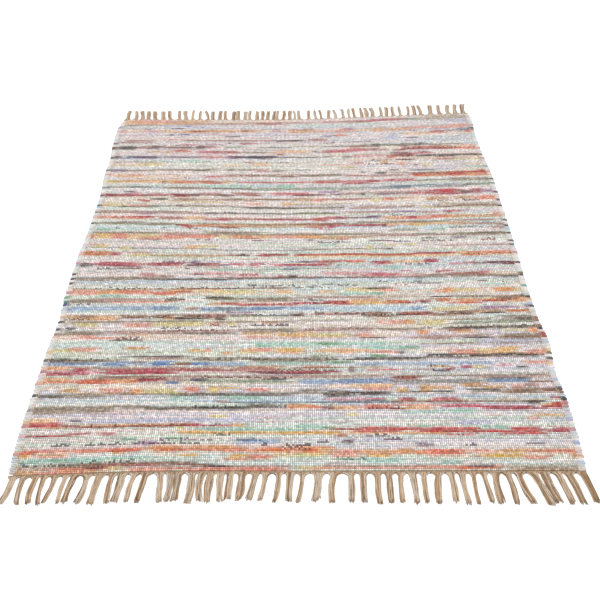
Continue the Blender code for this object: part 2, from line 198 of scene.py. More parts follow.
# The rag stripes: along at the run's own middle, its start and end across, in mm, then how many
# picks it fills, and its dye. A later run covers an earlier one.
stripes = (
    # near end
    (-1150, -810, -720, 2, "fawn"), (-1147, -720, -560, 1, "coral"), (-1144, -560, 575, 1, "fawn"),
    (-1146, 575, 810, 2, "tan"), (-1138, -810, -745, 2, "tan"), (-1130, -810, -740, 1, "coral"),
    (-1138, -745, -690, 1, "rust"), (-1136, -690, -480, 2, "fawn"), (-1130, -700, -540, 1, "coral"),
    (-1131, -530, -490, 2, "khaki"), (-1132, -480, -360, 2, "salmon"), (-1129, -365, -290, 1, "flame"),
    (-1134, -290, 0, 2, "coral"), (-1136, 0, 70, 1, "tan"), (-1130, 0, 60, 1, "khaki"),
    (-1133, 60, 575, 2, "salmon"), (-1137, 460, 575, 1, "flame"), (-1135, 575, 810, 2, "taupe"),
    (-1129, 575, 790, 1, "sand"), (-1126, 90, 400, 1, "dove"), (-1127, 460, 560, 1, "coal"),
    (-1126, -330, 0, 1, "dove"), (-1122, -800, -650, 2, "sand"), (-1119, -690, -530, 1, "moss"),
    (-1112, -640, -255, 2, "brown"), (-1120, -560, -370, 1, "cedar"), (-1127, -600, -540, 1, "wine"),
    (-1123, -250, -180, 1, "sable"), (-1107, -790, -740, 1, "tealGrey"), (-1099, -745, -560, 2, "jade"),
    (-1098, -700, -640, 1, "tealGrey"), (-1090, -560, -430, 1, "jade"), (-1100, 110, 195, 1, "tealGrey"),
    (-1101, 195, 300, 2, "jade"), (-1110, 400, 450, 2, "jade"), (-1085, -800, -755, 2, "mustard"),
    (-1078, -760, -640, 1, "fawn"), (-1083, -740, -660, 1, "salmon"), (-1068, -720, -540, 1, "peach"),
    (-1066, -530, -485, 2, "mustard"), (-1077, -325, -270, 1, "mustard"), (-1094, -230, -120, 1, "salmon"),
    (-1081, -195, -145, 2, "mustard"), (-1082, -135, -70, 2, "coral"), (-1078, -50, 90, 2, "khaki"),
    (-1079, 90, 170, 3, "salmon"), (-1080, 200, 270, 2, "mustard"), (-1074, 180, 400, 1, "fawn"),
    (-1087, 350, 500, 1, "peach"), (-1086, 515, 640, 2, "mustard"), (-1096, 640, 720, 2, "salmon"),
    (-1085, 780, 815, 3, "orange"), (-1066, -805, -740, 2, "flame"), (-1062, -740, -640, 1, "coral"),
    (-1058, -640, -540, 2, "coral"), (-1056, -540, -430, 2, "flame"), (-1052, -430, -330, 3, "orange"),
    (-1057, -400, -300, 1, "flame"), (-1050, -330, -190, 2, "fawn"), (-1056, -250, -130, 2, "orange"),
    (-1062, -300, -120, 1, "coral"), (-1054, -130, 10, 2, "orange"), (-1063, -130, 0, 1, "flame"),
    (-1069, -100, 100, 1, "fawn"), (-1053, 0, 110, 2, "orange"), (-1060, 0, 60, 1, "flame"),
    (-1062, 60, 110, 2, "fawn"), (-1066, 110, 280, 2, "salmon"), (-1063, 180, 290, 1, "fawn"),
    (-1065, 285, 340, 2, "orange"), (-1068, 340, 480, 3, "flame"), (-1068, 480, 560, 2, "salmon"),
    (-1068, 560, 660, 2, "fawn"), (-1069, 660, 810, 2, "coral"), (-1014, -520, -460, 1, "tealGrey"),
    (-1008, -400, -330, 1, "tealGrey"), (-1030, -470, -400, 2, "mauve"), (-1021, -180, -60, 2, "sky"),
    (-1028, 130, 160, 2, "plum"), (-1018, 200, 310, 1, "lavender"), (-1036, 340, 380, 2, "dusk"),
    (-1035, 640, 720, 1, "dusk"), (-998, 120, 155, 2, "crimson"), (-1000, 430, 520, 1, "rose"),
    (-998, -805, -620, 1, "crimson"), (-992, -690, -600, 1, "crimson"), (-990, -575, -520, 2, "rose"),
    (-986, -330, 160, 2, "fawn"), (-983, -320, 100, 1, "mustard"), (-970, -350, -335, 2, "yellow"),
    (-973, -300, 10, 2, "jade"), (-977, 95, 180, 1, "rust"), (-988, 170, 480, 1, "fawn"),
    (-977, 170, 300, 3, "red"), (-978, 300, 600, 3, "red"), (-983, 600, 740, 4, "red"),
    (-981, 740, 815, 3, "crimson"), (-963, -10, 90, 2, "jade"), (-965, 70, 110, 1, "green"),
    (-967, 330, 400, 1, "seaGreen"), (-968, 530, 620, 2, "jade"), (-966, -760, -680, 1, "fawn"),
    (-952, -805, -680, 3, "red"), (-957, -690, -650, 1, "rust"), (-951, -650, -300, 1, "fawn"),
    (-957, -640, -320, 1, "rust"), (-952, -325, -290, 2, "crimson"), (-957, -290, -190, 1, "rose"),
    (-953, -190, -150, 2, "fawn"), (-945, 480, 570, 2, "lavender"), (-934, -800, -715, 2, "apricot"),
    (-938, -670, -640, 1, "plum"), (-932, -640, -120, 2, "lavender"), (-917, -260, -215, 1, "yellow"),
    (-915, 140, 190, 1, "yellow"), (-916, 700, 790, 1, "mustard"), (-928, 680, 720, 1, "salmon"),
    (-892, -805, -660, 4, "taupe"), (-886, -660, -540, 3, "taupe"), (-877, -800, -540, 2, "taupe"),
    (-876, -540, -440, 2, "taupe"), (-877, -440, -310, 2, "umber"), (-879, -310, -150, 2, "moss"),
    (-875, -150, -30, 2, "umber"), (-872, -30, 60, 2, "orange"), (-877, 30, 70, 1, "flame"),
    (-877, 84, 111, 3, "wine"), (-877, 105, 190, 2, "fawn"), (-872, 180, 300, 2, "coral"),
    (-881, 200, 320, 1, "rust"), (-878, 320, 400, 2, "fawn"), (-869, 300, 440, 1, "salmon"),
    (-870, 430, 500, 2, "rose"), (-876, 480, 560, 2, "rose"), (-879, 540, 730, 2, "crimson"),
    (-873, 745, 790, 2, "mustard"), (-866, 775, 815, 3, "red"), (-881, 740, 800, 1, "crimson"),
    (-896, 430, 540, 2, "jade"), (-898, 310, 430, 1, "jade"), (-852, -250, 280, 2, "slate"),
    (-847, -300, 120, 1, "mist"), (-850, -250, -200, 1, "dove"), (-842, 180, 260, 1, "rose"),
    (-843, 80, 200, 1, "pink"), (-843, 300, 370, 2, "crimson"), (-842, 400, 490, 2, "rose"),
    (-853, 290, 500, 1, "brown"), (-853, 500, 750, 1, "taupe"), (-853, 700, 740, 2, "cocoa"),
    (-836, 770, 805, 1, "crimson"), (-832, -400, -300, 1, "jade"), (-830, -230, -100, 2, "seaGreen"),
    (-808, -590, -500, 1, "tan"), (-822, -805, -700, 2, "umber"), (-818, -700, -560, 3, "taupe"),
    (-814, -560, -400, 2, "taupe"), (-816, -400, -330, 2, "olive"), (-815, -330, 0, 2, "umber"),
    (-810, 0, 80, 3, "taupe"), (-813, 80, 160, 4, "umber"), (-813, 160, 310, 2, "cocoa"),
    (-808, 310, 480, 1, "coal"), (-803, -720, -600, 1, "peach"), (-793, -720, -665, 2, "ochre"),
    (-797, -605, -530, 3, "salmon"), (-800, -517, -480, 3, "orange"), (-798, -480, -360, 3, "khaki"),
    (-793, -345, -300, 3, "coral"), (-797, -272, -240, 4, "yellow"), (-786, -270, -180, 1, "mustard"),
    (-797, -165, -90, 2, "coral"), (-803, -90, 0, 1, "peach"), (-778, 90, 250, 2, "peach"),
    (-782, 170, 300, 2, "apricot"), (-792, 210, 300, 2, "salmon"), (-795, 300, 340, 2, "mustard"),
    (-790, 375, 412, 4, "ochre"), (-786, 412, 480, 2, "fawn"), (-781, 510, 580, 3, "ochre"),
    (-788, 580, 650, 2, "apricot"), (-787, 650, 700, 3, "salmon"), (-781, 690, 740, 2, "dove"),
    (-799, 520, 640, 2, "umber"), (-800, 640, 740, 3, "taupe"), (-806, 640, 740, 1, "brown"),
    (-797, 740, 805, 2, "brown"),
    # second quarter
    (-757, -400, -375, 3, "blue"), (-757, -280, 0, 2, "sage"), (-757, 0, 110, 3, "sky"),
    (-757, 110, 300, 3, "denim"), (-757, 300, 580, 3, "steel"), (-757, 580, 720, 3, "denim"),
    (-764, 720, 800, 1, "brown"), (-745, 600, 730, 1, "coal"), (-753, -805, -700, 3, "fawn"),
    (-758, -780, -620, 1, "coral"), (-752, -700, -570, 3, "flame"), (-752, -570, -500, 3, "orange"),
    (-750, -500, -410, 2, "crimson"), (-750, -410, -340, 2, "dove"), (-747, -330, -280, 2, "navy"),
    (-748, -90, -30, 1, "navy"), (-737, -640, -400, 2, "brown"), (-738, -400, 300, 2, "dove"),
    (-740, -280, -60, 1, "dove"), (-738, 300, 380, 3, "rust"), (-730, 380, 800, 1, "taupe"),
    (-737, 520, 800, 1, "dove"), (-713, -805, -700, 3, "crimson"), (-708, -790, -710, 1, "pink"),
    (-700, -700, -655, 3, "crimson"), (-717, -700, -655, 2, "crimson"), (-690, -650, -610, 1, "brown"),
    (-706, -660, -610, 2, "pink"), (-705, -620, -400, 4, "crimson"), (-708, -400, -180, 2, "pink"),
    (-697, -400, -200, 2, "cedar"), (-698, -200, -60, 3, "rust"), (-708, -180, -60, 2, "blush"),
    (-714, -140, 130, 2, "wine"), (-709, -60, 135, 1, "crimson"), (-700, 158, 181, 4, "wine"),
    (-701, 220, 330, 1, "rose"), (-702, 360, 420, 1, "dove"), (-704, 430, 480, 1, "plum"),
    (-697, 475, 508, 2, "crimson"), (-690, 525, 548, 2, "magenta"), (-690, -800, -720, 2, "orange"),
    (-684, -640, -350, 1, "dove"), (-686, -280, 0, 1, "tan"), (-685, 10, 110, 2, "salmon"),
    (-690, 0, 160, 1, "brown"), (-685, 190, 280, 2, "sand"), (-686, 415, 490, 2, "tan"),
    (-686, 560, 600, 3, "khaki"), (-681, 635, 690, 2, "pink"), (-692, 700, 735, 1, "umber"),
    (-666, -805, -620, 3, "denim"), (-666, -620, -520, 3, "denim"), (-667, -520, -450, 2, "sky"),
    (-661, -520, -460, 1, "taupe"), (-663, -450, -400, 3, "blue"), (-672, -400, -340, 2, "brown"),
    (-668, -340, -270, 2, "blue"), (-670, -270, -150, 2, "sky"), (-668, -150, 180, 2, "jade"),
    (-661, 120, 180, 1, "green"), (-671, 180, 340, 2, "sky"), (-671, 340, 480, 2, "sky"),
    (-671, 480, 620, 2, "sky"), (-664, 720, 790, 2, "salmon"), (-668, 785, 815, 3, "mustard"),
    (-648, -805, -730, 3, "umber"), (-650, -730, -590, 2, "taupe"), (-645, -590, -540, 1, "taupe"),
    (-643, -520, -340, 2, "dove"), (-634, -550, -340, 1, "coal"), (-648, -340, -180, 3, "taupe"),
    (-650, -180, 150, 3, "taupe"), (-633, 50, 120, 2, "sage"), (-632, 230, 290, 2, "green"),
    (-643, 160, 400, 2, "umber"), (-641, 400, 800, 1, "taupe"), (-627, 400, 520, 1, "coal"),
    (-627, 520, 800, 2, "cocoa"), (-600, -805, -730, 2, "khaki"), (-596, -730, -650, 3, "salmon"),
    (-587, -560, -480, 2, "ochre"), (-600, -350, -300, 2, "mustard"), (-602, -300, -272, 2, "coral"),
    (-613, -240, -210, 2, "fawn"), (-600, -190, -140, 2, "fawn"), (-600, -150, -80, 3, "salmon"),
    (-615, -190, -120, 1, "khaki"), (-599, -80, 30, 3, "mustard"), (-613, -70, 0, 1, "salmon"),
    (-605, 60, 230, 2, "apricot"), (-613, 130, 190, 2, "fawn"), (-607, 230, 330, 2, "salmon"),
    (-615, 330, 348, 2, "coal"), (-610, 390, 480, 2, "cream"), (-611, 490, 590, 3, "salmon"),
    (-605, 585, 640, 2, "khaki"), (-600, 640, 720, 3, "mustard"), (-613, 590, 720, 2, "apricot"),
    (-610, 745, 805, 3, "salmon"), (-600, 790, 820, 4, "mustard"), (-576, -130, -80, 2, "tealGrey"),
    (-568, -130, 290, 2, "jade"), (-567, 70, 140, 2, "green"), (-590, 230, 390, 2, "jade"),
    (-589, 330, 390, 2, "tealGrey"), (-562, 420, 800, 1, "taupe"), (-552, 590, 800, 2, "lavender"),
    (-545, -600, -500, 1, "cocoa"), (-527, -800, -740, 3, "peach"), (-524, -740, -660, 3, "salmon"),
    (-530, -700, -560, 1, "coral"), (-516, -560, -490, 2, "apricot"), (-525, -500, -300, 2, "peach"),
    (-516, -200, -60, 2, "apricot"), (-528, -190, -60, 1, "salmon"), (-520, -60, 10, 2, "mustard"),
    (-530, -60, 170, 1, "fawn"), (-514, 0, 60, 2, "apricot"), (-520, 30, 200, 2, "khaki"),
    (-523, 200, 255, 3, "salmon"), (-520, 255, 340, 2, "cream"), (-508, 400, 440, 3, "orange"),
    (-535, 210, 300, 1, "umber"), (-538, 380, 520, 2, "dove"), (-528, 400, 650, 2, "dove"),
    (-537, 540, 650, 1, "sable"), (-527, 650, 805, 4, "taupe"), (-535, 650, 805, 1, "brown"),
    (-520, 795, 820, 4, "wine"), (-505, -790, -640, 3, "taupe"), (-503, -640, -440, 3, "dove"),
    (-505, -440, -190, 3, "dove"), (-512, -360, -190, 1, "umber"), (-496, -190, 0, 3, "taupe"),
    (-488, 0, 60, 3, "shell"), (-487, 60, 260, 3, "dove"), (-495, 0, 150, 1, "brown"),
    (-487, 260, 420, 2, "taupe"), (-482, 490, 620, 2, "cocoa"), (-492, 500, 590, 1, "rust"),
    (-475, 620, 800, 2, "umber"), (-505, 520, 600, 2, "apricot"), (-500, 680, 760, 1, "khaki"),
    (-496, 770, 805, 3, "orange"), (-479, 800, 820, 4, "cocoa"), (-482, -775, -740, 2, "coal"),
    (-462, -740, -670, 3, "khaki"), (-462, -580, -520, 3, "salmon"), (-460, -540, -490, 3, "salmon"),
    (-460, -480, -320, 4, "khaki"), (-455, -300, -260, 2, "salmon"), (-457, -240, -200, 2, "khaki"),
    (-453, -120, -60, 1, "orange"), (-445, -800, -300, 1, "taupe"), (-444, -300, 0, 1, "taupe"),
    (-440, 0, 200, 1, "sand"), (-448, 265, 300, 3, "salmon"), (-448, 300, 370, 3, "salmon"),
    (-452, 365, 400, 3, "ochre"), (-452, 410, 500, 4, "khaki"), (-452, 520, 800, 2, "sage"),
    (-437, 510, 680, 1, "taupe"), (-428, 680, 800, 4, "taupe"), (-432, 740, 800, 2, "umber"),
    (-425, 790, 815, 5, "brown"), (-419, -795, -600, 4, "tan"), (-412, -795, -700, 2, "tan"),
    (-414, -730, -680, 2, "brown"), (-424, -700, -600, 2, "fawn"), (-418, -600, -500, 3, "brown"),
    (-415, -500, -400, 3, "brown"), (-425, -460, -400, 2, "ochre"), (-416, -400, -300, 3, "brown"),
    (-426, -420, -310, 1, "black"), (-414, -310, -240, 3, "cedar"), (-430, -280, -240, 2, "cocoa"),
    (-410, -240, -150, 2, "taupe"), (-410, -30, 0, 2, "cocoa"), (-407, 0, 30, 3, "wine"),
    (-398, 100, 250, 2, "dove"), (-405, 240, 330, 4, "brown"), (-400, 330, 480, 3, "rust"),
    (-402, 30, 240, 1, "cedar"), (-408, 460, 600, 2, "dove"), (-394, 480, 620, 3, "brown"),
    (-387, 600, 720, 3, "tan"), (-387, 720, 800, 2, "amber"), (-397, 620, 720, 1, "sable"),
    (-388, -240, -220, 2, "plum"), (-390, -240, -140, 1, "mauve"), (-375, 460, 600, 2, "khaki"),
    (-367, -800, -690, 4, "mist"), (-369, -800, -500, 3, "sky"), (-367, -500, -400, 3, "denim"),
    (-369, -390, -330, 2, "dove"), (-370, -330, -270, 3, "denim"), (-370, -270, -170, 3, "slate"),
    (-370, -170, -30, 3, "denim"), (-368, -30, 120, 3, "sky"), (-370, 120, 400, 4, "mist"),
    (-370, 400, 440, 3, "denim"), (-368, 635, 760, 2, "mauve"), (-362, 785, 815, 3, "indigo"),
    (-342, -310, -260, 2, "fawn"), (-342, -260, -180, 2, "brick"), (-342, -180, 20, 3, "brick"),
    (-340, -180, 190, 2, "rose"), (-333, -180, 0, 1, "cream"), (-335, 100, 190, 3, "brick"),
    (-330, 190, 310, 4, "fawn"), (-342, 190, 310, 1, "mustard"), (-330, 310, 400, 3, "amber"),
    (-342, 350, 410, 1, "crimson"), (-326, 400, 470, 2, "rose"), (-333, 435, 450, 2, "sable"),
    (-325, 470, 540, 3, "amber"), (-334, 535, 640, 2, "flame"), (-323, 540, 640, 2, "orange"),
    (-320, 640, 760, 3, "orange"), (-329, 640, 750, 1, "crimson"), (-315, 750, 810, 4, "orange"),
    (-321, -795, -640, 3, "taupe"), (-316, -700, -460, 3, "dove"), (-318, -460, -390, 3, "taupe"),
    (-330, -640, -380, 1, "salmon"), (-312, -330, -190, 3, "olive"), (-305, -330, -240, 1, "sable"),
    (-315, -180, 0, 3, "taupe"), (-307, 0, 300, 2, "dove"), (-303, 300, 460, 2, "sand"),
    (-305, 460, 540, 1, "coal"), (-301, 540, 700, 2, "taupe"), (-304, 700, 780, 3, "brown"),
    (-297, 780, 815, 2, "sable"), (-292, -720, -600, 2, "jade"), (-285, 150, 310, 2, "jade"),
    (-285, 270, 310, 2, "teal"), (-272, -795, -700, 4, "salmon"), (-270, -700, -600, 3, "orange"),
    (-266, -620, -500, 3, "coral"), (-275, -500, -430, 3, "flame"), (-262, -460, -370, 3, "orange"),
    (-268, -430, -340, 1, "brick"), (-263, -370, -250, 3, "apricot"), (-266, -290, -150, 3, "khaki"),
    (-267, -130, -70, 2, "peach"), (-267, -70, -20, 3, "apricot"), (-250, -790, -400, 1, "tan"),
    (-250, -400, 0, 1, "brown"), (-257, 170, 290, 3, "khaki"), (-248, 240, 350, 1, "sable"),
    (-258, 290, 350, 2, "salmon"), (-271, 60, 135, 2, "apricot"), (-265, 480, 520, 3, "salmon"),
    (-265, 525, 550, 4, "orange"), (-262, 550, 650, 2, "khaki"), (-256, 700, 760, 3, "orange"),
    (-262, 760, 800, 2, "khaki"),
    # middle
    (-233, 50, 75, 2, "dusk"), (-225, 640, 760, 1, "jade"), (-216, 440, 510, 1, "dusk"),
    (-183, -805, -680, 3, "taupe"), (-182, -700, -560, 3, "taupe"), (-186, -560, -260, 2, "umber"),
    (-172, -560, -440, 3, "dove"), (-192, -290, -250, 1, "coal"), (-183, -260, 90, 2, "dove"),
    (-182, -260, 430, 1, "umber"), (-176, 200, 400, 1, "dove"), (-172, 400, 560, 3, "taupe"),
    (-168, 560, 700, 2, "sage"), (-168, 700, 800, 3, "taupe"), (-174, 720, 790, 1, "coal"),
    (-160, 795, 815, 4, "moss"), (-158, -800, -400, 2, "shell"), (-160, -560, -520, 2, "rose"),
    (-168, -570, -440, 2, "dove"), (-157, -370, -240, 2, "blush"), (-158, -370, -330, 1, "plum"),
    (-160, -220, -130, 2, "blush"), (-172, -70, -50, 2, "crimson"), (-173, -30, 0, 2, "cocoa"),
    (-158, 90, 240, 3, "blush"), (-158, 240, 330, 3, "rose"), (-165, 290, 380, 2, "rose"),
    (-160, 390, 460, 2, "blush"), (-152, 460, 560, 2, "shell"), (-157, 550, 700, 3, "cedar"),
    (-153, 600, 690, 2, "cedar"), (-150, 700, 790, 2, "peach"), (-140, 380, 420, 1, "rose"),
    (-142, 500, 530, 2, "rust"), (-140, 530, 570, 2, "rose"), (-147, 660, 695, 2, "rose"),
    (-128, -300, 0, 1, "tealGrey"), (-128, -40, 0, 2, "slate"), (-119, 0, 100, 1, "tealGrey"),
    (-119, 90, 150, 1, "sage"), (-118, 310, 390, 2, "jade"), (-113, -640, -560, 1, "umber"),
    (-88, -795, -750, 3, "coal"), (-86, -740, -560, 4, "crimson"), (-90, -560, -400, 3, "crimson"),
    (-92, -400, -330, 3, "wine"), (-92, -330, -280, 3, "cedar"), (-98, -275, -240, 2, "dusk"),
    (-90, -240, -190, 2, "rose"), (-92, -165, -130, 3, "rose"), (-100, -100, -30, 2, "rose"),
    (-97, -30, 150, 2, "crimson"), (-76, -400, -340, 2, "dusk"), (-75, -340, -270, 1, "lavender"),
    (-78, 0, 80, 2, "dusk"), (-76, 85, 180, 2, "brick"), (-75, 180, 260, 2, "flame"),
    (-80, 285, 350, 3, "crimson"), (-74, 350, 480, 2, "apricot"), (-75, 480, 525, 3, "crimson"),
    (-90, 560, 610, 1, "rose"), (-85, 620, 660, 2, "cedar"), (-85, 660, 815, 2, "wine"),
    (-90, 760, 815, 1, "wine"), (-50, 20, 200, 2, "cream"), (-42, -600, -300, 2, "lichen"),
    (-16, -805, -680, 4, "amber"), (-18, -685, -650, 3, "crimson"), (-14, -640, -540, 2, "blush"),
    (-30, -620, -460, 2, "khaki"), (-30, -540, -400, 1, "taupe"), (-31, -460, -350, 2, "tan"),
    (-33, -350, -260, 2, "tan"), (-32, -260, -180, 1, "rust"), (-30, -212, -180, 2, "cocoa"),
    (-32, -145, -100, 3, "crimson"), (-31, -100, -30, 2, "rust"), (-38, 0, 300, 2, "apricot"),
    (-29, -30, 280, 2, "brick"), (-37, 280, 560, 2, "apricot"), (-28, 280, 440, 2, "brick"),
    (-23, 440, 560, 2, "crimson"), (-20, 560, 600, 2, "brick"), (-20, 600, 635, 2, "apricot"),
    (-20, 630, 700, 4, "amber"), (-16, 700, 810, 4, "salmon"), (-18, 640, 800, 1, "amber"),
    (16, -740, -300, 1, "steel"), (5, -300, 0, 1, "steel"), (38, -770, -700, 2, "khaki"),
    (23, -660, -620, 3, "khaki"), (28, -430, -370, 3, "apricot"), (32, -370, -300, 2, "khaki"),
    (8, 0, 340, 1, "taupe"), (12, 338, 360, 2, "coal"), (8, 360, 700, 1, "lichen"),
    (20, 260, 290, 3, "khaki"), (40, 335, 375, 2, "khaki"), (40, 410, 460, 2, "khaki"),
    (36, 570, 800, 1, "dove"), (38, 90, 150, 2, "jade"), (48, -770, -720, 1, "fawn"),
    (84, -580, -510, 1, "cocoa"), (85, -240, -130, 1, "wine"), (72, 55, 70, 2, "plum"),
    (90, 590, 640, 2, "dusk"), (65, 290, 365, 1, "plum"), (108, -805, -770, 4, "brick"),
    (108, -770, -705, 5, "mustard"), (109, -705, -650, 5, "coral"), (105, -650, -590, 4, "apricot"),
    (110, -600, -520, 4, "khaki"), (98, -600, -540, 2, "salmon"), (104, -520, -290, 4, "coral"),
    (90, -570, -440, 2, "salmon"), (100, -300, -250, 3, "khaki"), (100, -250, -160, 3, "orange"),
    (98, -160, -90, 3, "fawn"), (100, -90, 0, 3, "salmon"), (99, 0, 90, 4, "orange"),
    (95, 80, 200, 2, "mustard"), (86, 80, 200, 2, "tan"), (79, 150, 200, 1, "rose"),
    (95, 200, 290, 2, "tan"), (130, -795, -500, 2, "taupe"), (126, -500, -380, 3, "dove"),
    (122, -380, -130, 3, "taupe"), (128, -340, -140, 1, "taupe"), (115, -130, 290, 2, "taupe"),
    (107, 290, 460, 3, "dove"), (112, 460, 560, 3, "taupe"), (121, 560, 820, 3, "taupe"),
    (128, 680, 820, 1, "umber"), (160, -770, -600, 1, "jade"), (155, -770, -720, 2, "tealGrey"),
    (155, 490, 530, 3, "mist"), (152, 530, 580, 2, "jade"), (150, 360, 480, 2, "sage"),
    (168, 750, 815, 2, "dove"), (208, -800, -700, 2, "taupe"), (205, -720, -600, 3, "taupe"),
    (197, -600, -470, 3, "taupe"), (190, -465, -445, 2, "wine"), (185, -450, -420, 3, "crimson"),
    (178, -430, -400, 3, "brick"), (181, -400, -320, 3, "amber"), (177, -320, -200, 4, "rust"),
    (184, -320, -100, 2, "fawn"), (180, -200, 0, 4, "tan"), (191, -400, 0, 1, "taupe"),
    (178, 0, 40, 3, "apricot"), (176, 40, 110, 3, "amber"), (178, 115, 165, 4, "crimson"),
    (180, 190, 330, 2, "crimson"), (185, 328, 348, 4, "wine"), (181, 345, 390, 2, "brick"),
    (194, 340, 600, 3, "apricot"), (190, 440, 500, 2, "mustard"), (195, 600, 700, 3, "tan"),
    (195, 700, 780, 2, "dove"), (188, 780, 820, 3, "dove"), (195, 0, 230, 2, "brown"),
    (203, 230, 340, 2, "taupe"), (211, 340, 600, 2, "taupe"), (212, 420, 500, 1, "taupe"),
    (218, 600, 790, 2, "dove"), (250, -795, -700, 3, "salmon"), (248, -700, -560, 3, "coral"),
    (253, -640, -560, 1, "crimson"), (242, -560, -440, 3, "cedar"), (238, -440, -350, 3, "apricot"),
    (230, -360, -310, 2, "rose"), (231, -310, -250, 3, "crimson"), (230, -250, -180, 2, "cedar"),
    (229, -180, 70, 2, "crimson"), (229, 70, 120, 4, "brick"), (239, 110, 200, 3, "rose"),
    (241, 140, 330, 1, "plum"), (248, 285, 340, 2, "plum"), (241, 340, 420, 3, "fawn"),
    (244, 400, 540, 3, "coral"), (245, 440, 480, 2, "crimson"), (247, 520, 610, 3, "flame"),
    (251, 600, 720, 3, "fawn"), (251, 720, 800, 3, "tan"), (280, -360, -300, 2, "umber"),
    (275, -300, 0, 1, "umber"), (273, 0, 160, 2, "olive"), (280, 200, 400, 2, "dove"),
    (283, 380, 480, 2, "mauve"), (283, 480, 560, 2, "dove"), (290, 590, 670, 2, "rose"),
    (286, 600, 622, 2, "wine"), (276, 780, 820, 3, "salmon"), (290, -800, -450, 2, "taupe"),
    (282, -790, -340, 2, "dove"), (275, -620, -560, 2, "mauve"), (315, 0, 200, 2, "taupe"),
    (321, 183, 198, 3, "sable"), (322, 200, 420, 3, "dove"), (329, 420, 480, 2, "brown"),
    (325, 480, 620, 2, "khaki"), (331, 540, 810, 2, "brown"), (322, 620, 800, 2, "lichen"),
    (358, -800, -690, 2, "khaki"), (350, -800, -690, 2, "cream"), (345, -795, -690, 2, "khaki"),
    (343, -795, -750, 1, "amber"), (344, -690, -580, 2, "salmon"), (336, -600, -500, 1, "moss"),
    (331, -715, -560, 1, "umber"), (334, -500, -280, 2, "taupe"), (322, -280, -180, 1, "umber"),
    (319, -180, 0, 2, "umber"), (320, -178, -130, 2, "cocoa"), (345, 0, 200, 2, "sand"),
    (352, -210, -130, 1, "coral"), (348, -60, -10, 3, "apricot"), (341, 300, 480, 1, "cream"),
    (358, 580, 620, 2, "khaki"), (346, 600, 815, 3, "sand"), (341, 640, 815, 1, "brown"),
    # third quarter
    (385, -640, -600, 3, "brick"), (393, -580, -510, 2, "moss"), (384, -510, -400, 3, "dove"),
    (391, -500, -400, 1, "brown"), (388, -400, -170, 2, "dove"), (393, -260, -220, 2, "olive"),
    (386, -170, 0, 2, "brown"), (372, -480, -300, 1, "khaki"), (385, 0, 80, 4, "tan"),
    (381, 80, 130, 3, "coral"), (388, 130, 300, 2, "cedar"), (383, 300, 350, 3, "khaki"),
    (392, 350, 400, 3, "coral"), (398, 400, 480, 2, "tan"), (400, 480, 540, 2, "peach"),
    (403, 530, 640, 3, "tan"), (405, 640, 740, 3, "tan"), (403, 740, 815, 4, "coral"),
    (410, 180, 340, 2, "lichen"), (388, 800, 820, 4, "indigo"), (430, -805, -775, 5, "wine"),
    (428, -775, -690, 3, "crimson"), (430, -700, -620, 4, "rose"), (441, -685, -640, 2, "pink"),
    (433, -620, -560, 3, "rose"), (430, -565, -500, 2, "rose"), (424, -700, -520, 1, "wine"),
    (423, -790, -730, 1, "wine"), (425, -510, -430, 4, "crimson"), (422, -505, -435, 2, "wine"),
    (428, -430, -400, 3, "wine"), (430, -400, -310, 3, "cedar"), (422, -310, -260, 3, "wine"),
    (432, -260, -150, 3, "cedar"), (425, -210, -140, 2, "cedar"), (428, -100, 60, 3, "rose"),
    (424, 0, 130, 2, "wine"), (423, 150, 190, 2, "plum"), (446, 90, 170, 2, "mauve"),
    (435, 170, 270, 3, "dove"), (432, 270, 286, 3, "sable"), (440, 285, 530, 4, "dove"),
    (435, 320, 500, 1, "dusk"), (437, 470, 530, 2, "rose"), (450, 530, 570, 4, "crimson"),
    (457, 560, 680, 6, "crimson"), (456, 600, 640, 3, "red"), (455, 672, 730, 3, "wine"),
    (461, 725, 765, 4, "crimson"), (459, 765, 815, 2, "mauve"), (455, -715, -660, 2, "coal"),
    (494, -805, -500, 2, "sage"), (492, -805, -770, 3, "slate"), (497, -700, -560, 1, "slate"),
    (490, -590, -560, 2, "mist"), (491, -500, -400, 2, "steel"), (480, -510, -180, 2, "taupe"),
    (496, -400, -180, 3, "jade"), (498, -180, -80, 3, "mist"), (497, -80, -8, 4, "seaGreen"),
    (478, -340, -200, 1, "umber"), (472, -180, 150, 3, "sage"), (475, 150, 290, 3, "sage"),
    (485, 290, 460, 3, "steel"), (493, 400, 560, 3, "slate"), (500, 560, 700, 3, "steel"),
    (510, 700, 815, 3, "sage"), (508, 703, 722, 3, "coal"), (520, 180, 300, 2, "brown"),
    (543, -805, -740, 4, "khaki"), (543, -740, -480, 4, "apricot"), (541, -790, -600, 1, "ochre"),
    (536, -562, -545, 3, "brown"), (538, -510, -395, 4, "amber"), (534, -400, -345, 4, "amber"),
    (531, -360, -300, 3, "brick"), (531, -300, -265, 4, "ochre"), (530, -250, 0, 2, "rose"),
    (528, -170, -100, 1, "taupe"), (530, 0, 60, 2, "rose"), (532, 60, 205, 4, "brick"),
    (533, 195, 300, 4, "rose"), (543, 300, 360, 3, "crimson"), (546, 360, 510, 4, "rose"),
    (552, 510, 640, 2, "taupe"), (556, 640, 815, 4, "taupe"), (593, -785, -640, 4, "apricot"),
    (598, -700, -640, 2, "salmon"), (597, -630, -480, 2, "dove"), (589, -640, -440, 3, "peach"),
    (584, -400, -290, 2, "rose"), (588, -300, -180, 3, "dove"), (591, -200, -170, 3, "dove"),
    (592, -170, -60, 3, "taupe"), (586, -60, 0, 3, "brown"), (590, 0, 200, 3, "taupe"),
    (586, 205, 300, 2, "cedar"), (592, 300, 480, 3, "dove"), (595, 490, 560, 4, "flame"),
    (599, 495, 535, 2, "red"), (597, 550, 650, 5, "amber"), (603, 640, 730, 6, "flame"),
    (607, 650, 715, 2, "brick"), (605, 725, 770, 5, "orange"), (608, 765, 820, 7, "coral"),
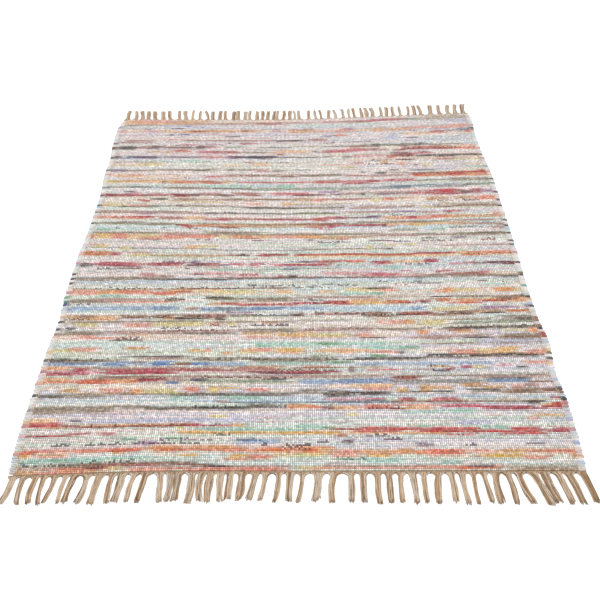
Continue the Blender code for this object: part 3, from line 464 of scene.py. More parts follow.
    (573, -640, -590, 1, "khaki"), (611, 345, 390, 2, "coal"), (616, 390, 480, 1, "taupe"),
    (615, 480, 700, 2, "brown"), (618, 640, 815, 2, "brick"), (633, 780, 820, 3, "brick"),
    (621, 285, 302, 1, "indigo"), (640, 400, 440, 2, "dusk"), (641, 480, 600, 2, "slate"),
    (647, 600, 665, 2, "lavender"), (640, 0, 60, 1, "slate"), (641, -805, -720, 3, "dusk"),
    (641, -720, -640, 2, "taupe"), (645, -640, -350, 2, "taupe"), (643, -450, -350, 1, "coal"),
    (642, -300, -250, 2, "umber"), (640, -250, -170, 2, "taupe"), (635, -180, -105, 3, "blush"),
    (633, -100, -40, 1, "umber"), (660, 180, 260, 2, "khaki"), (690, -790, -560, 1, "apricot"),
    (700, -790, -640, 2, "shell"), (704, -690, -580, 2, "khaki"), (719, -800, -600, 1, "dove"),
    (725, -500, -400, 2, "jade"), (722, -400, -375, 2, "tealGrey"), (690, -300, -240, 3, "peach"),
    (710, -202, -185, 2, "rust"), (695, -180, -100, 3, "apricot"), (705, -215, -180, 3, "dove"),
    (685, 100, 250, 1, "salmon"), (704, 245, 290, 3, "blush"), (710, 365, 398, 4, "apricot"),
    (703, 430, 480, 4, "salmon"), (686, 500, 530, 2, "rust"), (690, 530, 590, 3, "khaki"),
    (741, 440, 530, 1, "plum"), (742, 600, 720, 2, "sand"), (750, 620, 680, 1, "rose"),
    (747, 680, 800, 1, "khaki"), (700, 730, 800, 3, "peach"), (676, 730, 800, 2, "jade"),
    (680, 795, 820, 4, "teal"), (765, -805, -785, 4, "black"), (766, -790, -755, 3, "coal"),
    (765, -740, -690, 3, "slate"), (765, -700, -600, 3, "dusk"), (763, -700, -600, 1, "navy"),
    (765, -600, -420, 2, "dusk"), (765, -420, -310, 3, "blush"), (757, -420, -300, 1, "rose"),
    (763, -300, -230, 4, "plum"), (762, -230, -85, 4, "sloe"), (762, -240, -85, 2, "navy"),
    (757, -85, 200, 1, "coal"), (762, 200, 260, 2, "taupe"), (770, 260, 380, 3, "blush"),
    (770, 385, 440, 4, "brick"), (773, 430, 530, 3, "rust"), (779, 520, 620, 2, "cocoa"),
    (784, 610, 710, 3, "cocoa"), (789, 700, 815, 2, "sable"), (784, 700, 815, 1, "brown"),
    (785, -78, -45, 2, "crimson"), (797, 430, 520, 3, "wine"), (803, 490, 590, 2, "rose"),
    (810, 540, 600, 1, "plum"), (815, -670, -540, 2, "tan"),
    # far quarter
    (820, -535, -480, 3, "brick"), (818, -500, -460, 2, "coral"), (811, -430, -340, 3, "rose"),
    (811, -370, -250, 3, "cedar"), (808, -420, -320, 1, "rose"), (807, -300, -250, 2, "brick"),
    (811, -250, -100, 2, "taupe"), (810, -100, 60, 3, "apricot"), (833, -250, 0, 1, "sand"),
    (811, 70, 90, 2, "sable"), (815, 100, 240, 3, "cedar"), (823, 150, 300, 3, "rose"),
    (832, 240, 300, 4, "rose"), (833, 290, 380, 3, "cedar"), (836, 380, 420, 2, "tan"),
    (831, 430, 480, 2, "cedar"), (857, 470, 500, 4, "cedar"), (854, 500, 600, 4, "brick"),
    (856, 600, 700, 5, "brick"), (852, 480, 815, 1, "rust"), (860, 700, 815, 5, "coral"),
    (872, 640, 815, 1, "peach"), (857, -810, -785, 6, "sable"), (857, -785, -700, 5, "moss"),
    (858, -785, -640, 2, "sable"), (858, -700, -640, 4, "dove"), (858, -650, -600, 5, "cocoa"),
    (866, -650, -600, 1, "wine"), (857, -600, -450, 4, "dove"), (858, -600, -400, 1, "sable"),
    (858, -450, -410, 4, "cocoa"), (860, -410, -340, 3, "cedar"), (857, -320, -230, 2, "sage"),
    (853, -160, -20, 1, "coal"), (862, 0, 100, 1, "taupe"), (862, 100, 220, 1, "umber"),
    (869, 220, 335, 3, "brown"), (873, 335, 375, 4, "moss"), (877, 375, 440, 2, "moss"),
    (883, 440, 600, 3, "umber"), (886, 600, 740, 1, "taupe"), (884, -515, -440, 1, "rose"),
    (885, -400, -330, 2, "mauve"), (891, -250, -195, 2, "crimson"), (896, -200, -170, 1, "rose"),
    (904, -790, -620, 2, "dove"), (925, -770, -690, 2, "cedar"), (929, -690, -630, 2, "dove"),
    (934, -620, -450, 1, "salmon"), (925, -530, -200, 1, "brown"), (921, -380, -200, 1, "brown"),
    (921, -200, -100, 1, "rust"), (922, -105, 60, 2, "wine"), (922, -100, 30, 1, "sloe"),
    (930, 55, 140, 3, "cedar"), (910, 235, 330, 1, "dusk"), (952, 500, 550, 2, "dusk"),
    (970, 120, 185, 1, "plum"), (977, 185, 230, 3, "coral"), (961, 400, 480, 4, "lavender"),
    (966, 640, 700, 1, "jade"), (965, -530, -505, 1, "mauve"), (966, -320, -250, 1, "plum"),
    (985, -582, -560, 3, "coal"), (992, -535, -470, 1, "indigo"), (985, -400, -300, 1, "blush"),
    (999, 480, 620, 2, "apricot"), (1008, 620, 700, 2, "salmon"), (1018, 620, 700, 2, "crimson"),
    (1012, 700, 800, 3, "peach"), (1030, 700, 745, 1, "sloe"), (1036, 750, 815, 4, "slate"),
    (1040, 795, 820, 5, "pine"), (1024, 785, 820, 3, "flame"), (1025, -805, -770, 4, "salmon"),
    (1022, -770, -690, 4, "peach"), (1025, -690, -620, 3, "pink"), (1022, -620, -540, 3, "apricot"),
    (1022, -540, -410, 4, "fawn"), (1020, -480, -410, 2, "brick"), (1025, -410, -350, 4, "ochre"),
    (1027, -350, -280, 4, "fawn"), (1022, -280, -160, 4, "fawn"), (1024, -242, -222, 3, "wine"),
    (1020, -160, -100, 3, "peach"), (1025, -100, -60, 3, "blush"), (1021, -40, 90, 4, "fawn"),
    (1035, -40, 80, 1, "cedar"), (1018, 100, 180, 2, "salmon"), (1021, 180, 220, 3, "salmon"),
    (1031, 210, 262, 5, "salmon"), (1048, 230, 262, 2, "mauve"), (1033, 262, 350, 2, "apricot"),
    (1032, 355, 410, 5, "fawn"), (1041, 410, 560, 3, "fawn"), (1058, 500, 630, 3, "salmon"),
    (1062, 630, 700, 3, "salmon"), (1075, 700, 790, 5, "salmon"), (1093, 785, 820, 3, "crimson"),
    (1040, -690, -670, 2, "dusk"), (1048, -580, -500, 1, "plum"), (1076, -610, -500, 2, "lavender"),
    (1072, -510, -485, 2, "periwinkle"), (1065, -450, -400, 3, "lavender"), (1085, 0, 400, 4, "aqua"),
    (1085, -790, -730, 2, "taupe"), (1092, -730, -620, 2, "taupe"), (1100, -620, -370, 1, "brown"),
    (1101, -370, -220, 2, "brown"), (1101, -292, -270, 3, "cocoa"), (1103, -220, -180, 2, "dove"),
    (1105, -190, -50, 3, "cedar"), (1110, -50, 110, 2, "dove"), (1120, 110, 210, 3, "crimson"),
    (1128, 210, 340, 3, "cedar"), (1138, 330, 440, 2, "crimson"), (1142, 400, 495, 2, "wine"),
    (1151, 495, 600, 3, "sage"), (1155, 600, 710, 2, "taupe"), (1178, 600, 815, 5, "sand"),
    (1132, 690, 800, 4, "lavender"), (1163, 700, 815, 3, "sand"), (1140, 0, 330, 3, "shell"),
    (1152, 330, 500, 2, "dove"), (1112, -805, -560, 3, "apricot"), (1124, -805, -700, 4, "apricot"),
    (1125, -740, -560, 4, "salmon"), (1123, -560, -400, 5, "fawn"), (1118, -420, -200, 4, "peach"),
    (1127, -200, 0, 3, "peach"),
    # over the others
    (1101, -370, -220, 2, "dove"), (-168, 560, 700, 2, "taupe"), (1140, 330, 495, 2, "rose"),
)

# Broken runs of printed rag: along, start, end, the share of the run that shows, and the dye.
dashes = (
    (-1119, -790, -650, 0.4, "sable"), (-1108, -620, -450, 0.35, "sable"), (-1056, -60, 40, 0.4, "cocoa"),
    (-1099, 110, 195, 0.5, "pine"), (-1068, -528, -500, 0.3, "sable"), (-1040, -700, -650, 0.8, "sloe"),
    (-1038, -610, -490, 0.7, "sloe"), (-1030, -480, -280, 0.7, "sloe"), (-1040, -100, -80, 1.0, "sloe"),
    (-1041, -40, 30, 0.8, "sloe"), (-1019, -400, -250, 0.6, "plum"), (-1017, -180, -110, 0.7, "indigo"),
    (-1018, 250, 310, 0.7, "plum"), (-1028, 60, 85, 0.8, "plum"), (-1040, 480, 510, 0.8, "navy"),
    (-1000, -250, -200, 0.8, "coal"), (-1002, 200, 260, 0.7, "coal"), (-1003, 430, 510, 0.3, "coal"),
    (-960, -640, -320, 0.4, "wine"), (-957, -290, -190, 0.4, "plum"), (-879, -310, -60, 0.4, "black"),
    (-877, -160, -30, 0.5, "coal"), (-886, 200, 320, 0.4, "wine"), (-819, 80, 200, 0.4, "sable"),
    (-745, -500, -410, 0.5, "wine"), (-740, -300, 0, 0.35, "sable"), (-742, 300, 380, 0.5, "cocoa"),
    (-708, -60, 130, 0.5, "wine"), (-705, 430, 490, 0.6, "sloe"), (-690, 415, 470, 0.4, "cocoa"),
    (-648, -800, -600, 0.4, "sable"), (-648, -340, 400, 0.35, "coal"), (-627, 410, 800, 0.5, "black"),
    (-540, -590, -500, 0.7, "black"), (-483, -450, -370, 0.7, "black"), (-492, -450, -230, 0.6, "wine"),
    (-487, 0, 60, 0.5, "wine"), (-485, 150, 230, 0.5, "coal"), (-485, 420, 460, 0.7, "plum"),
    (-475, 490, 800, 0.5, "black"), (-470, -300, -255, 0.7, "wine"), (-470, -170, -20, 0.85, "sloe"),
    (-472, -225, -190, 0.8, "sloe"), (-430, -780, -700, 0.5, "cocoa"), (-420, -500, -380, 0.4, "sable"),
    (-413, -400, -240, 0.4, "cocoa"), (-413, -150, -30, 0.9, "black"), (-400, 60, 90, 0.9, "black"),
    (-401, 110, 240, 0.7, "sable"), (-411, 220, 360, 0.8, "black"), (-405, 360, 600, 0.4, "sable"),
    (-345, -790, -700, 0.7, "plum"), (-342, -180, 190, 0.35, "wine"), (-318, -450, -390, 0.7, "black"),
    (-320, 40, 100, 0.7, "coal"), (-328, 640, 750, 0.5, "wine"), (-250, -660, -600, 0.8, "coal"),
    (-247, -760, 130, 0.35, "cocoa"), (-230, -180, -50, 0.7, "sloe"), (-232, -40, 0, 0.6, "plum"),
    (-228, 140, 210, 0.7, "sloe"), (-226, 100, 130, 0.8, "plum"), (-212, 290, 330, 0.8, "plum"),
    (-212, 370, 440, 0.7, "slate"), (-208, 640, 680, 0.7, "sloe"), (-210, 730, 760, 0.8, "plum"),
    (-228, 340, 400, 0.5, "cedar"), (-162, -200, -130, 0.6, "crimson"), (-120, -720, -660, 0.8, "sloe"),
    (-118, -410, -390, 0.9, "black"), (-97, -130, -100, 0.8, "umber"), (-74, -500, -400, 0.7, "plum"),
    (-90, -560, -330, 0.35, "wine"), (-93, 400, 480, 0.7, "plum"), (-75, -30, 0, 0.7, "indigo"),
    (-27, 630, 790, 0.4, "brown"), (-98, 150, 180, 0.7, "sable"), (56, 80, 200, 0.8, "sloe"),
    (80, -400, -300, 0.6, "plum"), (75, -160, -120, 0.8, "plum"), (65, 370, 440, 0.7, "indigo"),
    (65, 470, 600, 0.8, "plum"), (83, 470, 540, 0.7, "plum"), (70, 690, 760, 0.7, "cedar"),
    (88, 730, 760, 0.7, "plum"), (165, 590, 720, 0.8, "coal"), (155, 90, 130, 0.7, "rose"),
    (163, -705, -690, 1.0, "slate"), (165, -520, -500, 1.0, "slate"), (160, -420, -360, 0.8, "umber"),
    (275, -300, -240, 0.7, "coal"), (250, 370, 440, 0.6, "cocoa"), (180, 330, 350, 1.0, "wine"),
    (247, -790, -560, 0.3, "rust"), (335, -480, -430, 0.7, "plum"), (378, 570, 640, 0.7, "dusk"),
    (380, 680, 740, 0.7, "plum"), (382, 530, 560, 0.8, "orange"), (620, 285, 302, 1.0, "navy"),
    (573, -480, -420, 0.6, "slate"), (697, 320, 420, 0.7, "plum"), (730, 320, 420, 0.7, "plum"),
    (708, -140, -20, 0.6, "plum"), (735, 440, 500, 0.8, "sloe"), (912, 235, 290, 0.7, "sloe"),
    (914, 315, 335, 0.9, "plum"), (779, 440, 815, 0.35, "sable"), (262, 370, 430, 0.6, "cocoa"),
    (545, 360, 500, 0.35, "wine"), (858, 480, 815, 0.35, "cocoa"), (588, -300, 190, 0.4, "brown"),
    (720, -590, -540, 0.7, "slate"), (880, -590, -470, 0.6, "plum"), (903, -780, -700, 0.6, "plum"),
    (893, -310, -290, 1.0, "plum"), (898, 120, 180, 0.7, "plum"), (890, 600, 740, 0.3, "umber"),
    (1022, 530, 560, 0.8, "plum"),
)

# Rag loops at the selvedges that stand out from the pale ones: for the left and the right side, along
# in mm and the dye.
loopDyes = {
    -1: (
        (-1100, "mist"), (-1072, "flame"), (-1000, "pink"), (-957, "red"), (-942, "orange"), (-890, "steel"),
        (-880, "coal"), (-820, "coal"), (-780, "mist"), (-755, "orange"), (-710, "crimson"), (-688, "salmon"),
        (-660, "sky"), (-645, "umber"), (-600, "mustard"), (-530, "salmon"), (-505, "taupe"), (-482, "navy"),
        (-445, "coal"), (-415, "amber"), (-370, "sky"), (-340, "indigo"), (-320, "pine"), (-300, "green"),
        (-268, "red"), (-215, "coal"), (-183, "coal"), (-152, "wine"), (-80, "magenta"), (-15, "orange"),
        (105, "orange"), (205, "coal"), (245, "coral"), (290, "taupe"), (330, "sky"), (345, "coal"),
        (423, "wine"), (437, "rose"), (495, "slate"), (545, "yellow"), (600, "rose"), (645, "coal"),
        (765, "black"), (848, "brown"), (860, "black"), (903, "plum"), (1025, "pink"), (1070, "mauve"),
    ),
    1: (
        (-1110, "sky"), (-1085, "orange"), (-1040, "periwinkle"), (-980, "crimson"), (-930, "periwinkle"),
        (-873, "crimson"), (-861, "red"), (-840, "black"), (-805, "brown"), (-790, "coal"), (-757, "sky"),
        (-673, "mustard"), (-640, "coal"), (-620, "olive"), (-600, "mustard"), (-560, "sky"), (-527, "rust"),
        (-513, "rust"), (-483, "black"), (-470, "brown"), (-438, "brown"), (-425, "brown"), (-362, "navy"),
        (-345, "periwinkle"), (-315, "orange"), (-303, "sable"), (-230, "teal"), (-165, "coal"),
        (-153, "olive"), (-88, "wine"), (-8, "crimson"), (35, "pine"), (65, "coal"), (122, "black"),
        (155, "sky"), (175, "coal"), (220, "coal"), (265, "coral"), (340, "cocoa"), (385, "coal"),
        (450, "plum"), (520, "pine"), (560, "sable"), (600, "orange"), (625, "red"), (680, "green"),
        (755, "rose"), (795, "olive"), (860, "flame"), (1025, "flame"), (1040, "brown"), (1055, "pine"),
        (1095, "crimson"),
    ),
}

# How the rags are laid in. A grain is how often a pattern changes: per metre across, per pick, and
# then the layer of noise that it is taken from.
weft = {
    "picks": 330,
    "columns": 90,
    "past": 0.0055,             # the last rags lie on the first of the heading
    "edgeInset": 0.0125,        # the sheet stops here, inside the turned rags
    "valley": 0.0046,
    "crest": 0.0064,
    "edgeDrop": 0.0014,         # the cloth is thinner at its selvedges
    "shoulders": (0.26, 0.74),  # where a rib's round top starts and ends, in picks
    "wander": 0.0012,           # how far a pick strays from its course
    "wanderGrain": (14, 0.9, 8.0),
    "lumps": 0.001,             # how much a rib's height differs along it
    "dips": 0.0002,             # and how much the hollows' does
    "lumpGrain": (35, 1.7, 3.0),
    "ownShare": 0.5,            # how much of its own rag's colour a face's corner shows
    "spliceSpread": 0.035,      # rag ends don't line up from pick to pick
    "spliceShare": 0.14,        # nor by more than this share of a short run
    "fades": (0.8, 1.0),        # what shows of a run at its first and last places
    "fadeLength": 4,            # a run of no more places than this doesn't fade
    "toEdge": 0.785,            # a rag that gets this far runs on to the selvedge
    "shadeSpread": 0.08,
    "runStrength": (0.84, 1.0),  # a printed rag shows more and less of its dye
    "farWear": 0.10,            # the far half is a little more worn
    "wearLength": 0.9,
    "patchColumns": (1, 5),     # how far along a rag its strength holds
    "patchSpread": 0.12,
    "spill": (0.05, 0.40),      # how much of a run's dye the picks beside it show
    "dotSpill": 0.35,           # a dotted rag shows a little on the pick beyond it
    "stripLengths": (0.12, 0.70),
    "groundDrift": (-1.5, 2.5),  # a strip takes its dyes from up to this many picks away
    "groundShift": (-0.1, 0.25),
    "groundShade": (0.88, 1.08),
    "flecks": 3,                # short bits of colour on each pick
    "fleckStarts": (-0.82, 0.78),
    "fleckLengths": (0.02, 0.11),
    "fleckStrength": (0.12, 0.50),
    "fleckLeast": 0.7,          # of its strength, where a fleck shows least
    "fleckDyes": ("rose", "salmon", "mustard", "teal", "mauve", "taupe", "denim", "coral", "green", "plum",
                  "pink", "peach", "orange", "seaGreen"),
    "seed": 41,
}
firstCourse = fieldEnd(-1) - weft["past"]
pickPitch = -2 * firstCourse / weft["picks"]


def pickAt(along, across):
    # the pick number, with its share, that passes this place
    return (along - bow(across, along) - firstCourse) / pickPitch


def sheetEdges(along):
    left, right = edgePlaces(along)
    return left + weft["edgeInset"], right - weft["edgeInset"]


def columnAt(across, along):
    if abs(across) > weft["toEdge"]:
        return 0 if across < 0 else weft["columns"]
    left, right = sheetEdges(along)
    column = round((across - left) / (right - left) * weft["columns"])
    return min(max(column, 0), weft["columns"])


def groundFamily(along, share):
    # share goes from 0 at the left to 1 at the right
    row = [row for row in ground if row[0] * mm <= along][-1]
    return row[1 + min(int(share * 3), 2)].split()


def paintGround(draw):
    # one colour for each pick and column, in strips of differing length
    paint = []
    for pick in range(weft["picks"]):
        course, stop = [], 0.0
        for column in range(weft["columns"]):
            share = (column + 0.5) / weft["columns"]
            if share >= stop:
                stop = share + draw.uniform(*weft["stripLengths"])
                along = firstCourse + (pick + draw.uniform(*weft["groundDrift"])) * pickPitch
                family = groundFamily(along, min(max(share + draw.uniform(*weft["groundShift"]), 0), 1))
                tone = dyeColour(draw.choice(family)) * draw.uniform(*weft["groundShade"])
            course.append(tone)
        paint.append(course)
    return paint


def paintRun(paint, pick, along, start, end, colour, strengths, draw):
    # strengths are the least and the most of the dye that a place along the run shows
    if not 0 <= pick < weft["picks"]:
        return
    patchEnd, strength, unfaded = 0, 0.0, len(weft["fades"])
    first, last = columnAt(start, along), columnAt(end, along) - 1
    for column in range(first, last + 1):
        if column >= patchEnd:
            patchEnd = column + draw.randint(*weft["patchColumns"])
            strength = draw.uniform(*strengths)
        share = min(max(strength + draw.uniform(-1, 1) * weft["patchSpread"], 0.0), 1.0)
        fromStart = column - first if first > 0 else unfaded
        fromEnd = min(fromStart, last - column if last < weft["columns"] - 1 else unfaded)
        if last - first > weft["fadeLength"] and fromEnd < unfaded:
            share *= weft["fades"][fromEnd]
        paint[pick][column] = paint[pick][column].lerp(colour, share)


def paintFlecks(paint, draw):
    for pick in range(weft["picks"]):
        for _ in range(weft["flecks"]):
            start = draw.uniform(*weft["fleckStarts"])
            strength = draw.uniform(*weft["fleckStrength"])
            paintRun(paint, pick, firstCourse + pick * pickPitch, start,
                     start + draw.uniform(*weft["fleckLengths"]), dyeColour(draw.choice(weft["fleckDyes"])),
                     (strength * weft["fleckLeast"], strength), draw)


def paintStripes(paint, draw):
    for along, start, end, picks, name in stripes:
        first = round(pickAt(along * mm, (start + end) / 2 * mm) - picks / 2)
        spread = min(weft["spliceSpread"], (end - start) * mm * weft["spliceShare"])
        worn = 1 - weft["farWear"] * min(max(along * mm / weft["wearLength"], 0.0), 1.0)
        for pick in range(first - 1, first + picks + 1):
            shift = [draw.uniform(-1, 1) * spread for _ in range(2)]
            shade = 1 + draw.uniform(-1, 1) * weft["shadeSpread"]
            strengths = [strength * worn for strength in weft["runStrength"]]
            if not first <= pick < first + picks:
                strengths = weft["spill"]
            paintRun(paint, pick, along * mm, start * mm + shift[0], end * mm + shift[1],
                     dyeColour(name) * shade, strengths, draw)


def paintDots():
    # for each pick and column the print's dark dots: their colour, and the share of humps that show them
    dots = [[(Vector((0, 0, 0)), 0.0)] * weft["columns"] for _ in range(weft["picks"])]
    for along, start, end, cover, name in dashes:
        middle = int(pickAt(along * mm, (start + end) / 2 * mm))
        for pick, share in ((middle, 1.0), (middle + 1, weft["dotSpill"])):
            if 0 <= pick < weft["picks"]:
                for column in range(columnAt(start * mm, along * mm), columnAt(end * mm, along * mm)):
                    dots[pick][column] = (dyeColour(name), cover * share)
    return dots


def paintRags():
    draw = random.Random(weft["seed"])
    paint = paintGround(draw)
    paintFlecks(paint, draw)
    paintStripes(paint, draw)
    return paint


def addObject(name, data):
    thing = bpy.data.objects.new(name, data)
    bpy.context.scene.collection.objects.link(thing)
    return thing


def meshObject(name, builder, materials):
    mesh = bpy.data.meshes.new(name)
    builder.to_mesh(mesh)
    builder.free()
    for material in materials:
        mesh.materials.append(material)
    return addObject(name, mesh)


def finishPiece(name, builder, materials):
    bmesh.ops.recalc_face_normals(builder, faces=builder.faces[:])
    piece = meshObject(name, builder, materials)
    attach(piece, "root")
    print(name + ":", sum(len(face.vertices) - 2 for face in piece.data.polygons), "triangles")
    return piece


# The weave that shows on any of the cloth. Its edges are shares of a warp end's pitch or of a pick,
# seen from the middle of the end or of the pick.
weave = {
    "endPitch": 0.006,          # between the warp ends that show on one pick
    "warpEdge": (0.08, 0.19),
    "warpTurn": (0.36, 0.5),    # where an end goes down between two picks
    "turnShow": 0.15,           # and what still shows of it there
    "underShow": 0.45,          # what shows of an end on a pick that it crosses under
    "humpSides": (0.06, 0.40),
    "humpTop": (0.10, 0.5),
}

# The looks that all the cloth and yarn share.
finish = {
    "dyeGain": 0.848,
    "warpColour": (0.44, 0.31, 0.20),
    # the warp ends that show among the humps: their own tan, darkened by painted shade where they lie between
    # the humps
    "warpTanAndShade": (0.36, 0.31, 0.255),
    # painted shade for the hollows of the heading's weave
    "hollowShadeColour": (0.16, 0.10, 0.06),
    "warpShow": 0.65,
    # painted shade in the gaps between the humps of rag, as a share of the dye
    "paintedGapShade": 0.52,
    "sheen": 0.15,
    "sheenRoughness": 0.6,
    "specular": 0.2,
    "cloudSpan": (0.3, 0.7),    # a noise goes from its low look to its high one between these
    "roughSpan": (0.2, 0.8),
}


def feed(tree, socket, value):
    if isinstance(value, bpy.types.NodeSocket):
        tree.links.new(value, socket)
    else:
        socket.default_value = value


def addNode(tree, kind, inputs=None, **settings):
    node = tree.nodes.new("ShaderNode" + kind)
    for name, value in settings.items():
        setattr(node, name, value)
    for name, value in (inputs or {}).items():
        feed(tree, node.inputs[name], value)
    return node


def reckon(tree, operation, *values):
    return addNode(tree, "Math", dict(enumerate(values)), operation=operation).outputs[0]


def plus(tree, one, other):
    return reckon(tree, "ADD", one, other)


def times(tree, one, other):
    return reckon(tree, "MULTIPLY", one, other)


def between(tree, share, low, high):
    return plus(tree, low, times(tree, share, high - low))


def ease(tree, value, start, end, low=0.0, high=1.0):
    inputs = {"Value": value, "From Min": start, "From Max": end, "To Min": low, "To Max": high}
    return addNode(tree, "MapRange", inputs, interpolation_type="SMOOTHSTEP").outputs[0]


def stretch(tree, place, grain):
    return addNode(tree, "VectorMath", {0: place, 1: (*grain, 1.0)}, operation="MULTIPLY").outputs[0]


def cloud(tree, place, detail, scale=1.0, roughness=0.5):
    inputs = {"Vector": place, "Scale": scale, "Detail": detail, "Roughness": roughness}
    return addNode(tree, "TexNoise", inputs).outputs["Fac"]


def mixColour(tree, share, low, high, blend="MIX"):
    node = addNode(tree, "Mix", {0: share, 6: low, 7: high}, data_type="RGBA", blend_type=blend)
    return node.outputs[2]


def shadeColour(tree, colour, shade):
    tone = addNode(tree, "CombineXYZ", {0: shade, 1: shade, 2: shade}).outputs[0]
    return mixColour(tree, 1.0, colour, tone, "MULTIPLY")


def dyedSurface(tree):
    # where a spot lies on the weave, and the dye that the mesh has there
    place = addNode(tree, "UVMap", uv_map="weave").outputs[0]
    return place, addNode(tree, "Attribute", attribute_name="dye").outputs["Color"]


def clothMaterial(name):
    material = bpy.data.materials.new(name)
    material.use_nodes = True
    shader = material.node_tree.nodes["Principled BSDF"]
    shader.inputs["Sheen Weight"].default_value = finish["sheen"]
    shader.inputs["Sheen Roughness"].default_value = finish["sheenRoughness"]
    shader.inputs["Specular IOR Level"].default_value = finish["specular"]
    return material, material.node_tree, shader


def dressShader(tree, shader, colour, roughness, height, relief):
    # relief is the bump's strength and its depth in metres
    feed(tree, shader.inputs["Base Color"], colour)
    feed(tree, shader.inputs["Roughness"], roughness)
    bump = addNode(tree, "Bump", {"Height": height, "Strength": relief[0], "Distance": relief[1]})
    feed(tree, shader.inputs["Normal"], bump.outputs[0])


def fromHalf(tree, value):
    # how far the value's fraction is from one half
    return reckon(tree, "ABSOLUTE", reckon(tree, "SUBTRACT", reckon(tree, "FRACT", value), 0.5))


def weavePattern(tree, across, pick):
    # the warp ends, each strong on every second pick where it crosses over, and the humps of rag
    # between them
    ends = reckon(tree, "DIVIDE", across, weave["endPitch"])
    fromWarp, fromMiddle = fromHalf(tree, ends), fromHalf(tree, pick)
    number = plus(tree, reckon(tree, "FLOOR", pick), reckon(tree, "FLOOR", ends))
    crossing = between(tree, reckon(tree, "FLOORED_MODULO", number, 2.0), weave["underShow"], 1.0)
    over = times(tree, ease(tree, fromWarp, *weave["warpEdge"], 1.0, 0.0),
                 ease(tree, fromMiddle, *weave["warpTurn"], 1.0, weave["turnShow"]))
    over = times(tree, over, crossing)
    hump = times(tree, ease(tree, fromWarp, *weave["humpSides"]),
                 ease(tree, fromMiddle, *weave["humpTop"], 1.0, 0.0))
    return over, hump


def humpDraw(tree, across, pick):
    # a number and a colour of its own for each hump of rag
    ends = reckon(tree, "DIVIDE", across, weave["endPitch"])
    cell = addNode(tree, "CombineXYZ", {0: reckon(tree, "FLOOR", plus(tree, ends, 0.5)),
                                        1: reckon(tree, "FLOOR", pick)}).outputs[0]
    return addNode(tree, "TexWhiteNoise", {"Vector": cell}, noise_dimensions="2D")


# The top of the rags. A grain is per metre across, then per pick.
ragTop = {
    "strayGrain": (9.0, 0.12),  # the warp ends don't run quite straight
    "stray": 0.008,
    "creaseGrain": (70.0, 5.0),  # creases run along a rag
    # painted shade in the creases' hollows, and painted light on their ridges
    "paintedCreaseShade": (0.90, 1.08),
    "cloudGrain": (80.0, 7.31),  # and its dye is cloudy
    "cloudShades": (0.78, 1.18),
    # painted light on the tops of the humps, as a share of the dye
    "paintedHumpLight": 1.42,
    "humpSpread": 0.23,         # no two humps of rag catch the light alike
    "hueSpread": 0.11,          # nor are they quite of one colour
    "bare": 0.25,               # the print has worn off the palest of them
    "bareFrom": 0.45,
    "bareColour": (0.60, 0.58, 0.56),
    "dyeSpan": (0.05, 0.45),    # from a strong dye's brightness to a pale one's
    "strongShow": 0.5,          # strong dyes cover better, and hold the warp's pale ends down
    "dotStrength": 0.80,
    "roughness": (0.86, 0.98),
    "warpHeight": 0.55,         # over the humps' own
    "creaseHeight": 0.45,
    "relief": (0.7, 0.0012),
}


# painted light and shade: darker in the gaps between humps and in crease hollows, lighter on hump tops
def ragShade(tree, hump, crease, dyeing, own):
    shade = between(tree, hump, finish["paintedGapShade"], ragTop["paintedHumpLight"])
    for noiseValue, shades in ((crease, ragTop["paintedCreaseShade"]), (dyeing, ragTop["cloudShades"])):
        shade = times(tree, shade, ease(tree, noiseValue, *finish["cloudSpan"], *shades))
    light = between(tree, own.outputs[0], 1 - ragTop["humpSpread"], 1 + ragTop["humpSpread"])
    hueSpread = ragTop["hueSpread"]
    cast = addNode(tree, "VectorMath", {0: own.outputs[1], 1: (hueSpread,) * 3, 2: (1 - hueSpread / 2,) * 3},
                   operation="MULTIPLY_ADD").outputs[0]
    shade = times(tree, shade, light)
    return addNode(tree, "VectorMath", {0: cast, "Scale": shade}, operation="SCALE").outputs[0]


